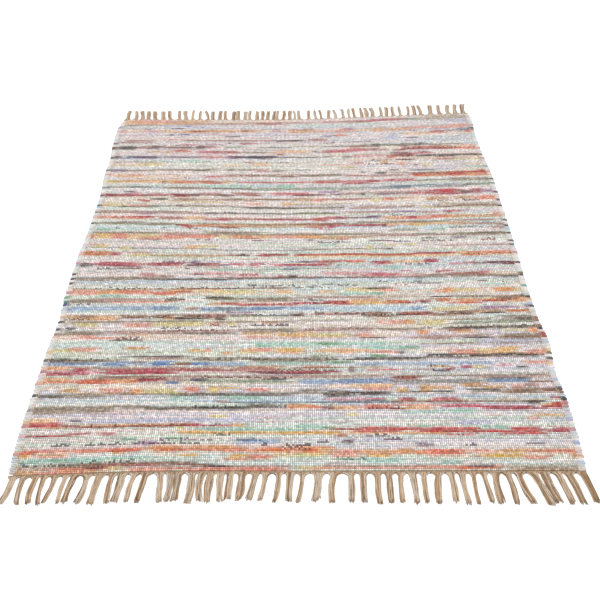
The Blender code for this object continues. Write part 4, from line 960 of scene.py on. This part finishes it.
def ragWeaveMaterial():
    material, tree, shader = clothMaterial("ragWeave")
    place, dye = dyedSurface(tree)
    split = addNode(tree, "SeparateXYZ", {0: place})
    across, pick = split.outputs[0], split.outputs[1]
    stray = cloud(tree, stretch(tree, place, ragTop["strayGrain"]), 1.0)
    strayed = plus(tree, across, times(tree, reckon(tree, "SUBTRACT", stray, 0.5), ragTop["stray"]))
    over, hump = weavePattern(tree, strayed, pick)
    own = humpDraw(tree, strayed, pick)
    crease = cloud(tree, stretch(tree, place, ragTop["creaseGrain"]), 4.0, roughness=0.6)
    onCourse = addNode(tree, "CombineXYZ", {0: across, 1: reckon(tree, "FLOOR", pick)}).outputs[0]
    dyeing = cloud(tree, stretch(tree, onCourse, ragTop["cloudGrain"]), 3.0)

    brightness = addNode(tree, "RGBToBW", {0: dye}).outputs[0]
    pale = ease(tree, brightness, *ragTop["dyeSpan"], ragTop["strongShow"], 1.0)
    worn = ease(tree, own.outputs[0], ragTop["bareFrom"], 1.0, 0.0, ragTop["bare"])
    rag = mixColour(tree, times(tree, worn, pale), dye, (*ragTop["bareColour"], 1.0))
    dots = addNode(tree, "Attribute", attribute_name="dots")
    lot = addNode(tree, "SeparateXYZ", {0: own.outputs[1]}).outputs[1]
    dotted = reckon(tree, "LESS_THAN", lot, dots.outputs["Alpha"])
    rag = mixColour(tree, times(tree, dotted, ragTop["dotStrength"]), rag, dots.outputs["Color"])
    # the painted light and shade, multiplied into the rag's colour
    rag = mixColour(tree, 1.0, rag, ragShade(tree, hump, crease, dyeing, own), "MULTIPLY")
    warpShare = times(tree, times(tree, over, finish["warpShow"]), pale)
    # the warp's own tan with its painted shade
    colour = mixColour(tree, warpShare, rag, (*finish["warpTanAndShade"], 1.0))

    height = plus(tree, hump, times(tree, over, ragTop["warpHeight"]))
    height = plus(tree, height, times(tree, crease, ragTop["creaseHeight"]))
    roughness = ease(tree, crease, *finish["roughSpan"], *ragTop["roughness"])
    dressShader(tree, shader, colour, roughness, height, ragTop["relief"])
    return material


# The back shows the same kind of stripes, read from the place itself.
ragBack = {
    "courseGrain": (1.6, 3.7),
    "stripes": ((0.0, "crimson"), (0.30, "taupe"), (0.38, "paleGrey"), (0.46, "aqua"), (0.52, "lilac"),
                (0.58, "cream"), (0.64, "fawn"), (0.70, "denim")),
    # painted light on the underside's humps, against the painted shade of the gaps
    "paintedHumpLight": 0.92,
    "roughness": 0.94,
    "relief": (0.7, 0.0012),
}


def undersideMaterial():
    material, tree, shader = clothMaterial("ragUnderside")
    split = addNode(tree, "SeparateXYZ", {0: addNode(tree, "TexCoord").outputs["Object"]})
    across, pick = split.outputs[0], reckon(tree, "DIVIDE", split.outputs[1], pickPitch)
    over, hump = weavePattern(tree, across, pick)
    onCourse = addNode(tree, "CombineXYZ", {0: across, 1: reckon(tree, "FLOOR", pick)}).outputs[0]
    ramp = addNode(tree, "ValToRGB", {0: cloud(tree, stretch(tree, onCourse, ragBack["courseGrain"]), 2.0)})
    ramp.color_ramp.interpolation = "CONSTANT"
    for stop, _ in ragBack["stripes"][2:]:
        ramp.color_ramp.elements.new(stop)
    for element, (stop, name) in zip(ramp.color_ramp.elements, ragBack["stripes"]):
        element.position = stop
        element.color = (*dyeColour(name), 1.0)
    # painted shade in the gaps and painted light on the humps
    rag = shadeColour(tree, ramp.outputs[0], between(tree, hump, finish["paintedGapShade"], ragBack["paintedHumpLight"]))
    colour = mixColour(tree, times(tree, over, finish["warpShow"]), rag, (*finish["warpTanAndShade"], 1.0))
    dressShader(tree, shader, colour, ragBack["roughness"], plus(tree, hump, over), ragBack["relief"])
    return material


# The turned rags: the dye, with painted shade in the hollows of the creases that follow the strip round its
# turn.
turnedRag = {
    "creaseGrain": (110.0, 7.0),
    "paintedCreaseShade": (0.78, 1.08),
    "roughness": (0.86, 0.98),
    "relief": (0.6, 0.0012),
}


def ragLoopMaterial():
    material, tree, shader = clothMaterial("ragLoop")
    place, dye = dyedSurface(tree)
    crease = cloud(tree, stretch(tree, place, turnedRag["creaseGrain"]), 4.0)
    # painted shade in the hollows of the creases
    shade = ease(tree, crease, *finish["cloudSpan"], *turnedRag["paintedCreaseShade"])
    roughness = ease(tree, crease, *finish["roughSpan"], *turnedRag["roughness"])
    dressShader(tree, shader, shadeColour(tree, dye, shade), roughness, crease, turnedRag["relief"])
    return material


# Warp yarn is two plies laid round each other, with loose fibres.
yarnLook = {
    "twist": (170.0, 2.0),      # plies to a metre of length, then to a turn round the yarn
    "plySpan": (0.5, 0.12),
    # painted shade in the groove between the plies, and painted light on their tops
    "paintedPlyShade": (0.72, 1.08),
    "fibreScale": 900.0,
    "fibreShades": (0.88, 1.1),
    "patchScale": 45.0,
    "patchShades": (0.92, 1.08),
    "roughness": (0.85, 0.98),
    "fibreHeight": 0.4,
    "relief": (0.7, 0.0006),
}


def warpYarnMaterial():
    material, tree, shader = clothMaterial("warpYarn")
    place, tint = dyedSurface(tree)
    split = addNode(tree, "SeparateXYZ", {0: place})
    turns = plus(tree, times(tree, split.outputs[0], yarnLook["twist"][0]),
                 times(tree, split.outputs[1], yarnLook["twist"][1]))
    ply = ease(tree, fromHalf(tree, turns), *yarnLook["plySpan"])
    spot = addNode(tree, "TexCoord").outputs["Object"]
    fibre = cloud(tree, spot, 3.0, yarnLook["fibreScale"])
    patch = cloud(tree, spot, 2.0, yarnLook["patchScale"])
    # painted shade and light of the plies
    shade = between(tree, ply, *yarnLook["paintedPlyShade"])
    for noiseValue, shades in ((fibre, yarnLook["fibreShades"]), (patch, yarnLook["patchShades"])):
        shade = times(tree, shade, ease(tree, noiseValue, *finish["cloudSpan"], *shades))
    height = plus(tree, ply, times(tree, fibre, yarnLook["fibreHeight"]))
    roughness = ease(tree, fibre, *finish["roughSpan"], *yarnLook["roughness"])
    dressShader(tree, shader, shadeColour(tree, tint, shade), roughness, height, yarnLook["relief"])
    return material


# The headings are a plain weave of the warp's own yarn.
headingLook = {
    "patchScale": 60.0,
    # what is not the yarn's full colour is painted shade
    "raisedShow": (0.15, 0.75),  # of the yarn's full colour, in the hollows and where it is raised
    "roughness": (0.88, 0.98),
    "relief": (0.7, 0.001),
}


def headingMaterial():
    material, tree, shader = clothMaterial("headingWeave")
    split = addNode(tree, "SeparateXYZ", {0: dyedSurface(tree)[0]})
    raised = reckon(tree, "MAXIMUM", *weavePattern(tree, split.outputs[0], split.outputs[1]))
    patch = cloud(tree, addNode(tree, "TexCoord").outputs["Object"], 3.0, headingLook["patchScale"])
    warpColour, hollowShadeColour = (*finish["warpColour"], 1.0), (*finish["hollowShadeColour"], 1.0)
    # painted shade, patchy, that fills the hollows of the weave
    low = mixColour(tree, ease(tree, patch, *finish["cloudSpan"]), hollowShadeColour, warpColour)
    colour = mixColour(tree, between(tree, raised, *headingLook["raisedShow"]), low, warpColour)
    roughness = ease(tree, patch, *finish["roughSpan"], *headingLook["roughness"])
    dressShader(tree, shader, colour, roughness, raised, headingLook["relief"])
    return material


ragWeave = ragWeaveMaterial()
ragUnderside = undersideMaterial()
ragLoop = ragLoopMaterial()
warpYarn = warpYarnMaterial()
headingWeave = headingMaterial()
print("materials made")


def eitherWay(draw, reach):
    return draw.uniform(-reach, reach)


def unevenness(*place):
    # a smooth number between -1 and 1 for a place
    return noise.noise(Vector(place))


def addLayers(builder):
    return builder.loops.layers.uv.new("weave"), builder.loops.layers.float_color.new("dye")


def gridVerts(builder, columns, rows):
    # a new grid's vertices, each with its row and its column
    grid = bmesh.ops.create_grid(builder, x_segments=columns, y_segments=rows - 1, size=1.0)
    return [(vert, *divmod(index, columns + 1)) for index, vert in enumerate(grid["verts"])]


def ribRows(picks):
    # along, in picks: where each rib starts, and the two shoulders of its round top
    return [pick + step for pick in range(picks) for step in (0.0, *weft["shoulders"])] + [float(picks)]


def closeUnder(builder, underside):
    # a skirt down to the floor, and one face under it
    rim = [edge for edge in builder.edges if edge.is_boundary]
    skirt = bmesh.ops.extrude_edge_only(builder, edges=rim)["geom"]
    for vert in (item for item in skirt if isinstance(item, bmesh.types.BMVert)):
        vert.co.z = 0.0
    foot = [edge for edge in builder.edges if edge.is_boundary]
    for face in bmesh.ops.edgeloop_fill(builder, edges=foot)["faces"]:
        face.material_index = underside
        face.smooth = False


def clothHeight(across, pick, step, atEdge):
    # step is 0 in the hollow between two ribs, and more on a rib's shoulders
    wide, long, layer = weft["lumpGrain"]
    lump = unevenness(across * wide, pick * long, layer + step)
    height = weft["crest"] + lump * weft["lumps"] if step else weft["valley"] + lump * weft["dips"]
    return height - weft["edgeDrop"] if atEdge else height


def makeField(paint, dots):
    # one rib for each pick, in the colours of its rags
    builder = bmesh.new()
    uvLayer, dyeLayer = addLayers(builder)
    dotLayer = builder.loops.layers.float_color.new("dots")
    columns, steps, rows = weft["columns"], 1 + len(weft["shoulders"]), ribRows(weft["picks"])
    wide, long, layer = weft["wanderGrain"]
    for vert, row, column in gridVerts(builder, columns, len(rows)):
        along = firstCourse + rows[row] * pickPitch
        left, right = sheetEdges(along)
        across = left + (right - left) * column / columns
        stray = 0.0
        if 0 < row < len(rows) - 1:
            stray = unevenness(across * wide, rows[row] * long, layer) * weft["wander"]
        height = clothHeight(across, rows[row] // 1, row % steps, column in (0, columns))
        vert.co = settle(across, along + bow(across, along) + stray, height)
    builder.verts.index_update()
    for face in builder.faces:
        row, cell = divmod(min(vert.index for vert in face.verts), columns + 1)
        course = paint[row // steps]
        spot, cover = dots[row // steps][cell]
        face.smooth = True
        for loop in face.loops:
            loopRow, column = divmod(loop.vert.index, columns + 1)
            beside = course[max(column - 1, 0)] + course[min(column, columns - 1)]
            tone = beside * ((1 - weft["ownShare"]) / 2) + course[cell] * weft["ownShare"]
            loop[uvLayer].uv = (loop.vert.co.x, rows[loopRow])
            loop[dyeLayer] = (*tone * finish["dyeGain"], 1.0)
            loop[dotLayer] = (*spot * finish["dyeGain"], cover)
    closeUnder(builder, 1)
    return finishPiece("ragField", builder, [ragWeave, ragUnderside])


def sweepTube(builder, layers, path, size, sides, tint, start):
    # a grid wrapped round a path: size gives half the width and half the height at each point, and
    # start is where the yarn's or rag's own pattern starts
    uvLayer, dyeLayer = layers
    places = [start]
    for before, after in zip(path, path[1:]):
        places.append(places[-1] + (after - before).length)
    for vert, row, around in gridVerts(builder, sides, len(path)):
        ahead = (path[min(row + 1, len(path) - 1)] - path[max(row - 1, 0)]).normalized()
        sideways = ahead.cross(Vector((0, 0, 1))).normalized()
        upwards = sideways.cross(ahead)
        angle = 2 * math.pi * (around % sides) / sides
        halfWidth, halfHeight = size[row]
        vert.co = path[row] + sideways * math.cos(angle) * halfWidth + upwards * math.sin(angle) * halfHeight
        for loop in vert.link_loops:
            loop[uvLayer].uv = (places[row], around / sides)
            loop[dyeLayer] = (*tint, 1.0)


def makeTubes(name, tubes, material):
    builder = bmesh.new()
    layers = addLayers(builder)
    for tube in tubes:
        sweepTube(builder, layers, *tube)
    bmesh.ops.remove_doubles(builder, verts=builder.verts[:], dist=1e-6)
    bmesh.ops.holes_fill(builder, edges=[edge for edge in builder.edges if edge.is_boundary], sides=0)
    for face in builder.faces:
        face.smooth = len(face.verts) == 4
    return finishPiece(name, builder, [material])


# The rags turn back at the selvedges, two picks to a loop.
loops = {
    "legLength": 0.021,
    "legSpread": 0.003,
    "legStep": 0.004,           # from a leg's inner end to the next point of its path
    "legRise": 0.0008,          # these two points lie a little higher
    "turnIn": 0.004,            # the round turn starts this far inside the selvedge's mean line
    "outSpread": 0.0018,
    "turnSteps": 4,
    "halfWidth": 0.0036,
    "halfHeight": 0.0025,
    "swell": (0.9, 1.12),
    "height": 0.0028,
    "heightSpread": 0.0003,
    "sides": 6,
    "buried": 0.55,             # the leg's inner end, as a share of its size, inside the cloth
    "pale": ("white", "paleGrey", "frost", "aqua", "lilac", "white"),
    "ownShare": 0.25,           # how much of the pick's own dye a loop that isn't listed takes
    "listedShare": (0.9, 0.62),  # and how much of a listed dye, dark or bright
    "brightDye": 0.35,          # a dye whose strongest channel passes this is bright
    "bowPlace": 0.8,            # how far across the bow of a loop's course is read
    "creaseShift": 9,           # loops start at different places of the crease pattern
    "seed": 7,
}


def loopColour(paint, pick, side, draw):
    along = firstCourse + (pick + 1) * pickPitch
    own = paint[min(pick, weft["picks"] - 1)][-1 if side > 0 else 0]
    pale = dyeColour(draw.choice(loops["pale"]))
    for place, name in loopDyes[side]:
        course = place * mm - bow(side * loops["bowPlace"], place * mm)
        if abs(course - along) < pickPitch:
            bright = max(dyeColour(name)) > loops["brightDye"]
            return pale.lerp(dyeColour(name), loops["listedShare"][bright])
    return pale.lerp(own, loops["ownShare"])


def loopPath(middle, side, draw):
    # out along one pick, round, and back along the next
    edge = edgePlace(side, middle)
    outer = edge - side * loops["turnIn"] + side * draw.uniform(-1, 1) * loops["outSpread"]
    inner = edge - side * (loops["legLength"] + draw.uniform(0, loops["legSpread"]))
    half = pickPitch / 2
    leg = [(inner, loops["legRise"]), (inner + side * loops["legStep"], loops["legRise"]), (outer, 0.0)]
    flat = [(across, -half, rise) for across, rise in leg]
    for step in range(1, loops["turnSteps"] + 1):
        angle = math.pi * (step / (loops["turnSteps"] + 1) - 0.5)
        flat.append((outer + side * math.cos(angle) * half, math.sin(angle) * half, 0.0))
    flat += [(across, half, rise) for across, rise in reversed(leg)]
    height = loops["height"] + eitherWay(draw, loops["heightSpread"])
    return [settle(across, middle + past + bow(across, middle), height + rise) for across, past, rise in flat]


def makeLoops(paint):
    tubes, draw = [], random.Random(loops["seed"])
    for side in (-1, 1):
        for pick in range(0 if side > 0 else 1, weft["picks"] - 1, 2):
            path = loopPath(firstCourse + (pick + 1) * pickPitch, side, draw)
            swell = draw.uniform(*loops["swell"])
            size = [(loops["halfWidth"] * swell, loops["halfHeight"] * swell)] * len(path)
            size[0] = size[-1] = tuple(value * loops["buried"] for value in size[0])
            tone = loopColour(paint, pick, side, draw) * finish["dyeGain"]
            tubes.append((path, size, loops["sides"], tone, draw.uniform(0, loops["creaseShift"])))
    return makeTubes("selvedgeLoops", tubes, ragLoop)


# The outermost warp ends show as cords just inside the loops.
edgeWarp = {
    "places": ((-1, 0.0145), (-1, 0.0200), (1, 0.0145), (1, 0.0200)),   # side, and how far in
    "radius": 0.0011,
    "over": 0.0058,
    "under": 0.0040,
    "wander": 0.001,
    "wanderGrain": (9, 5.0),    # per metre along, and from cord to cord
    "sides": 5,
    "tint": (0.50, 0.38, 0.26),
}


def makeEdgeWarp():
    tubes, (grain, apart) = [], edgeWarp["wanderGrain"]
    for number, (side, inset) in enumerate(edgeWarp["places"]):
        path = []
        for pick in range(weft["picks"]):
            along = firstCourse + (pick + 0.5) * pickPitch
            across = edgePlace(side, along) - side * inset
            across += unevenness(along * grain, number * apart, 0.0) * edgeWarp["wander"]
            height = edgeWarp["over"] if (pick + number) % 2 else edgeWarp["under"]
            path.append(settle(across, along + bow(across, along), height))
        size = [(edgeWarp["radius"], edgeWarp["radius"])] * len(path)
        tubes.append((path, size, edgeWarp["sides"], edgeWarp["tint"], 0.0))
    return makeTubes("edgeWarp", tubes, warpYarn)


# Beyond the last rag a few picks of the warp's own yarn, and a twined cord along the outer edge.
heading = {
    "picks": 2,
    "columns": 120,
    "depth": 0.0102,
    "valley": 0.0030,
    "crest": 0.0044,
    "lumps": 0.0004,
    "lumpGrain": (60, 2.0),     # per metre across, and by row
    "cordPlace": 0.0106,
    "cordHeight": 0.0025,
    "cordSwing": 0.0011,
    "cordRadius": 0.0013,
    "cordPitch": 0.014,
    "cordSteps": 8,
    "cordSides": 5,
    # the tan strand, and a dark one: a real cord whose dark tint is painted shade along the heading's outer
    # rim
    "cordTintAndRimShade": ((0.42, 0.30, 0.19), (0.15, 0.09, 0.055)),
}


def makeHeading(name, side):
    builder = bmesh.new()
    uvLayer, dyeLayer = addLayers(builder)
    columns, steps, rows = heading["columns"], 1 + len(weft["shoulders"]), ribRows(heading["picks"])
    left, right = edgePlaces(fieldEnd(side))
    inner = weft["past"] + plan["parting"]
    wide, long = heading["lumpGrain"]
    for vert, row, column in gridVerts(builder, columns, len(rows)):
        across = left + (right - left) * column / columns
        out = inner + (heading["depth"] - inner) * rows[row] / heading["picks"]
        height = heading["crest"] if row % steps else heading["valley"]
        height += unevenness(across * wide, row * long, side) * heading["lumps"]
        vert.co = settle(across, endLine(side, across) + side * out, height)
        for loop in vert.link_loops:
            loop[uvLayer].uv = (vert.co.x, rows[row])
            loop[dyeLayer] = (*finish["warpColour"], 1.0)
    for face in builder.faces:
        face.smooth = True
    closeUnder(builder, 0)
    return finishPiece(name, builder, [headingWeave])


def makeTwining(name, side):
    left, right = edgePlaces(fieldEnd(side))
    count = int((right - left) / heading["cordPitch"] * heading["cordSteps"])
    tubes, swing = [], heading["cordSwing"]
    for strand, tint in enumerate(heading["cordTintAndRimShade"]):
        path = []
        for step in range(count + 1):
            across = left + (right - left) * step / count
            turn = 2 * math.pi * step / heading["cordSteps"] + math.pi * strand
            along = endLine(side, across) + side * (heading["cordPlace"] + math.cos(turn) * swing)
            path.append(settle(across, along, heading["cordHeight"] + math.sin(turn) * swing))
        size = [(heading["cordRadius"], heading["cordRadius"])] * len(path)
        tubes.append((path, size, heading["cordSides"], tint, 0.0))
    return makeTubes(name, tubes, warpYarn)


# The fringe: locks as the solids have them, each made of the warp yarns that reach it.
fringe = {
    # locks, then how far their tips swing, how wide they are and how far they reach, in mm
    "front": ((7, -6, 14, 103), (6, -8, 15, 108), (7, 0, 16, 109), (6, -9, 17, 104),
              (5, -6, 15, 105), (6, -5, 15, 112), (6, 2, 15, 114), (6, 20, 18, 117)),
    "back": ((6, -5, 17, 97), (6, -8, 14, 100), (7, -5, 14, 100), (8, -1, 13, 100),
             (6, -5, 13, 98), (7, 0, 14, 106), (6, 2, 15, 108), (5, 2, 18, 108)),
    "frontSeed": 11,
    "backSeed": 12,
    "rootSpread": 0.20,
    "rootShare": 0.84,
    "lockClearance": 0.0025,
    "widthSpread": 0.25,
    "swingSpread": 0.008,
    "reachSpread": 0.005,
    "waverSpread": 0.004,
    "swingPower": 1.3,
    "yarns": 533,
    "yarnSeed": 5,
    "sides": 5,
    "stations": (0.0, 0.03, 0.065, 0.105, 0.16, 0.27, 0.41, 0.56, 0.72, 0.88, 1.0),
    "radius": 0.0019,
    "radiusSpread": 0.15,
    "tipRadius": 0.8,           # of the yarn's own
    "slots": 0.92,              # the share of a lock's width that its yarns' places take up
    "slotSpread": 0.12,
    "fullness": 1.32,           # the yarns spread past their lock's own width
    "rootDepth": 0.002,         # a yarn starts this far inside the heading
    "rootEnd": 0.1,             # the share of its length over which it comes down from the cord
    "gatherShare": 0.15,
    "cuts": (0.93, 1.03),       # how far yarns reach, by their lock's own reach
    "sways": (0.05, 0.22),
    "swayTurn": 7,
    "splay": 0.2,
    "splayPower": 3,
    "layerRise": 0.0019,
    "lift": 0.0002,
    "liftTurn": 11,
    "tint": (0.49, 0.352, 0.238),
    "tintSpread": 0.26,
    "darkShare": 0.28,          # of the yarns, those that lie in the others' shade
    "shadedTone": 0.45,
    "warmSpread": 0.08,
    # painted warm light, bounced between the yarns into their shade
    "shadeWarmth": 0.50,        # how much warmer a darker yarn is than one of the middle tone
    "middleTone": 0.92,
    "warmLeans": (1, 0.1, -1),  # what warmth does to a yarn's red, green and blue
    # stray single yarns at the near end: where they start and end across, in mm
    "strays": ((-125, -142), (45, 63)),
    "strayRadius": 0.8,         # of the other yarns' own
    "strayReach": 0.095,
    "strayPower": 1.6,
}


def drawRoots(sections, left, right, draw):
    sectionLength = (right - left) / len(sections)
    roots = []
    for index, section in enumerate(sections):
        spacing = sectionLength / section[0]
        for number in range(section[0]):
            shift = eitherWay(draw, fringe["rootSpread"])
            roots.append((left + index * sectionLength + (number + 0.5 + shift) * spacing, section))
    apart = [after[0] - before[0] for before, after in zip(roots, roots[1:])]
    gaps = [2 * (roots[0][0] - left), *apart, 2 * (right - roots[-1][0])]
    spaces = [min(pair) * fringe["rootShare"] for pair in zip(gaps, gaps[1:])]
    return [(root, space, section) for (root, section), space in zip(roots, spaces)]


def lockPlace(lock, share):
    sway = 4 * share * (1 - share) * lock["waver"]
    return lock["root"] + (lock["tip"] - lock["root"]) * share ** fringe["swingPower"] + sway


def drawLocks(sections, left, right, draw):
    # the same draws in the same order as the solids' own
    locks = []
    for root, space, section in drawRoots(sections, left, right, draw):
        width = section[2] * mm * (1 + eitherWay(draw, fringe["widthSpread"]))
        tip = root + section[1] * mm + eitherWay(draw, fringe["swingSpread"])
        reach = section[3] * mm + eitherWay(draw, fringe["reachSpread"])
        waver = eitherWay(draw, fringe["waverSpread"])
        lock = {"root": root, "tip": tip, "width": min(width, space), "reach": reach, "waver": waver}
        if locks:
            nearest = (locks[-1]["width"] + lock["width"]) / 2 + fringe["lockClearance"]
            lock["tip"] = max(tip, locks[-1]["tip"] + nearest)
            short = lockPlace(locks[-1], 0.5) + nearest - lockPlace(lock, 0.5)
            lock["waver"] += max(short, 0.0)
        locks.append(lock)
    return locks


def yarnTint(draw):
    tone = 1 + draw.uniform(-1, 1) * fringe["tintSpread"]
    # painted shade on the yarns that lie in the others' shade
    if draw.random() < fringe["darkShare"]:
        tone *= fringe["shadedTone"]
    warm = eitherWay(draw, fringe["warmSpread"])
    # painted warm light that the yarns bounce into the darker ones
    warm += fringe["shadeWarmth"] * (fringe["middleTone"] - tone)
    return [channel * tone * (1 + warm * lean) for channel, lean in zip(fringe["tint"], fringe["warmLeans"])]


def rootLift(share, resting):
    # how far a yarn still is above its resting height, on its way down from the cord
    return (heading["cordHeight"] - resting) * max(0.0, 1 - share / fringe["rootEnd"])


def layYarn(side, lock, home, slot, layer, draw):
    # one yarn from its place in the heading into its place in the lock, and on to the lock's tip
    cut = lock["reach"] * draw.uniform(*fringe["cuts"])
    phase, sway = draw.uniform(0, 2 * math.pi), draw.uniform(*fringe["sways"])
    radius = fringe["radius"] * (1 + draw.uniform(-1, 1) * fringe["radiusSpread"])
    splay = eitherWay(draw, fringe["splay"])
    resting = radius + layer * fringe["layerRise"]
    path = []
    for share in fringe["stations"]:
        gathered = 1 - (1 - min(share / fringe["gatherShare"], 1.0)) ** 2
        wander = slot + sway * math.sin(phase + fringe["swayTurn"] * share)
        wander += splay * share ** fringe["splayPower"]
        inLock = lockPlace(lock, share) + wander * (lock["width"] / 2 - radius) * fringe["fullness"]
        across = home + (inLock - home) * gathered
        start = endLine(side, home) * (1 - gathered) + endLine(side, lock["root"]) * gathered
        along = start + side * (plan["headingDepth"] - fringe["rootDepth"] + cut * share)
        height = resting + fringe["lift"] * math.sin(phase + fringe["liftTurn"] * share)
        path.append(settle(across, along, max(height + rootLift(share, resting), radius)))
    tip = radius * fringe["tipRadius"]
    size = [(radius, radius)] * (len(path) - 1) + [(tip, tip)]
    return path, size, fringe["sides"], yarnTint(draw), draw.random()


def layStray(start, end, draw):
    home, radius = start * mm, fringe["radius"] * fringe["strayRadius"]
    path = []
    for share in fringe["stations"]:
        across = home + (end - start) * mm * share ** fringe["strayPower"]
        past = plan["headingDepth"] - fringe["rootDepth"] + fringe["strayReach"] * share
        path.append(settle(across, endLine(-1, home) - past, radius + rootLift(share, radius)))
    return path, [(radius, radius)] * len(path), fringe["sides"], fringe["tint"], draw.random()


def makeFringe(name, side, sections, seed):
    left, right = edgePlaces(fieldEnd(side))
    locks = drawLocks(sections, left, right, random.Random(seed))
    draw = random.Random(fringe["yarnSeed"] + seed)
    middles = [(before["root"] + after["root"]) / 2 for before, after in zip(locks, locks[1:])]
    limits = [left, *middles, right]
    homes = [left + (right - left) * (number + 0.5) / fringe["yarns"] for number in range(fringe["yarns"])]
    tubes = []
    for lock, low, high in zip(locks, limits, limits[1:]):
        held = [home for home in homes if low <= home < high]
        for number, home in enumerate(held):
            slot = (number + 0.5) / len(held) * 2 - 1 + eitherWay(draw, fringe["slotSpread"])
            tubes.append(layYarn(side, lock, home, slot * fringe["slots"], number % 2, draw))
    if side < 0:
        tubes += [layStray(start, end, draw) for start, end in fringe["strays"]]
    return makeTubes(name, tubes, warpYarn)


paint = paintRags()
print("rag stripes laid out")
ragField = makeField(paint, paintDots())
selvedgeLoops = makeLoops(paint)
edgeWarpCords = makeEdgeWarp()
headingFront = makeHeading("headingFront", -1)
headingBack = makeHeading("headingBack", 1)
twiningFront = makeTwining("twiningFront", -1)
twiningBack = makeTwining("twiningBack", 1)
yarnsFront = makeFringe("fringeYarnsFront", -1, fringe["front"], fringe["frontSeed"])
yarnsBack = makeFringe("fringeYarnsBack", 1, fringe["back"], fringe["backSeed"])

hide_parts("rug_field")
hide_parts("fringe_front")
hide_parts("fringe_back")

# A white floor under even light, and the view from above the near end.
studio = {
    "floorSize": 30.0,
    "floorCells": 8,
    "floorColour": (0.93, 0.93, 0.93),
    "floorRoughness": 0.9,
    "worldStrength": 0.95,
    "keyPlace": (-0.1, -0.35, 3.5),
    "keySize": 2.6,
    "keyPower": 90.0,
    "cameraPlace": (-0.0118, -3.1127, 1.966),
    "cameraPitch": 0.6164,      # down from level
    "cameraYaw": 0.0064,
    "lens": 58.6,
    "sensorWidth": 36.0,
}


def layFloor():
    builder = bmesh.new()
    cells = studio["floorCells"]
    bmesh.ops.create_grid(builder, x_segments=cells, y_segments=cells, size=studio["floorSize"] / 2)
    material = bpy.data.materials.new("paleFloor")
    material.use_nodes = True
    shader = material.node_tree.nodes["Principled BSDF"]
    shader.inputs["Base Color"].default_value = (*studio["floorColour"], 1.0)
    shader.inputs["Roughness"].default_value = studio["floorRoughness"]
    floor = meshObject("floor", builder, [material])


def lightStudio():
    world = bpy.data.worlds.new("studioWorld")
    bpy.context.scene.world = world
    world.use_nodes = True
    background = world.node_tree.nodes["Background"]
    background.inputs["Color"].default_value = (1.0, 1.0, 1.0, 1.0)
    background.inputs["Strength"].default_value = studio["worldStrength"]

    lamp = bpy.data.lights.new("key", "AREA")
    lamp.shape = "DISK"
    lamp.size = studio["keySize"]
    lamp.energy = studio["keyPower"]
    key = addObject("key", lamp)
    key.location = studio["keyPlace"]
    key.rotation_euler = (-Vector(studio["keyPlace"])).to_track_quat("-Z", "Y").to_euler()


def aimCamera():
    camera = addObject("camera", bpy.data.cameras.new("camera"))
    camera.data.lens = studio["lens"]
    camera.data.sensor_width = studio["sensorWidth"]
    camera.location = studio["cameraPlace"]
    camera.rotation_euler = (math.pi / 2 - studio["cameraPitch"], 0.0, -studio["cameraYaw"])
    bpy.context.scene.camera = camera
    bpy.context.scene.view_settings.view_transform = "Standard"


layFloor()
lightStudio()
aimCamera()
print("studio set")
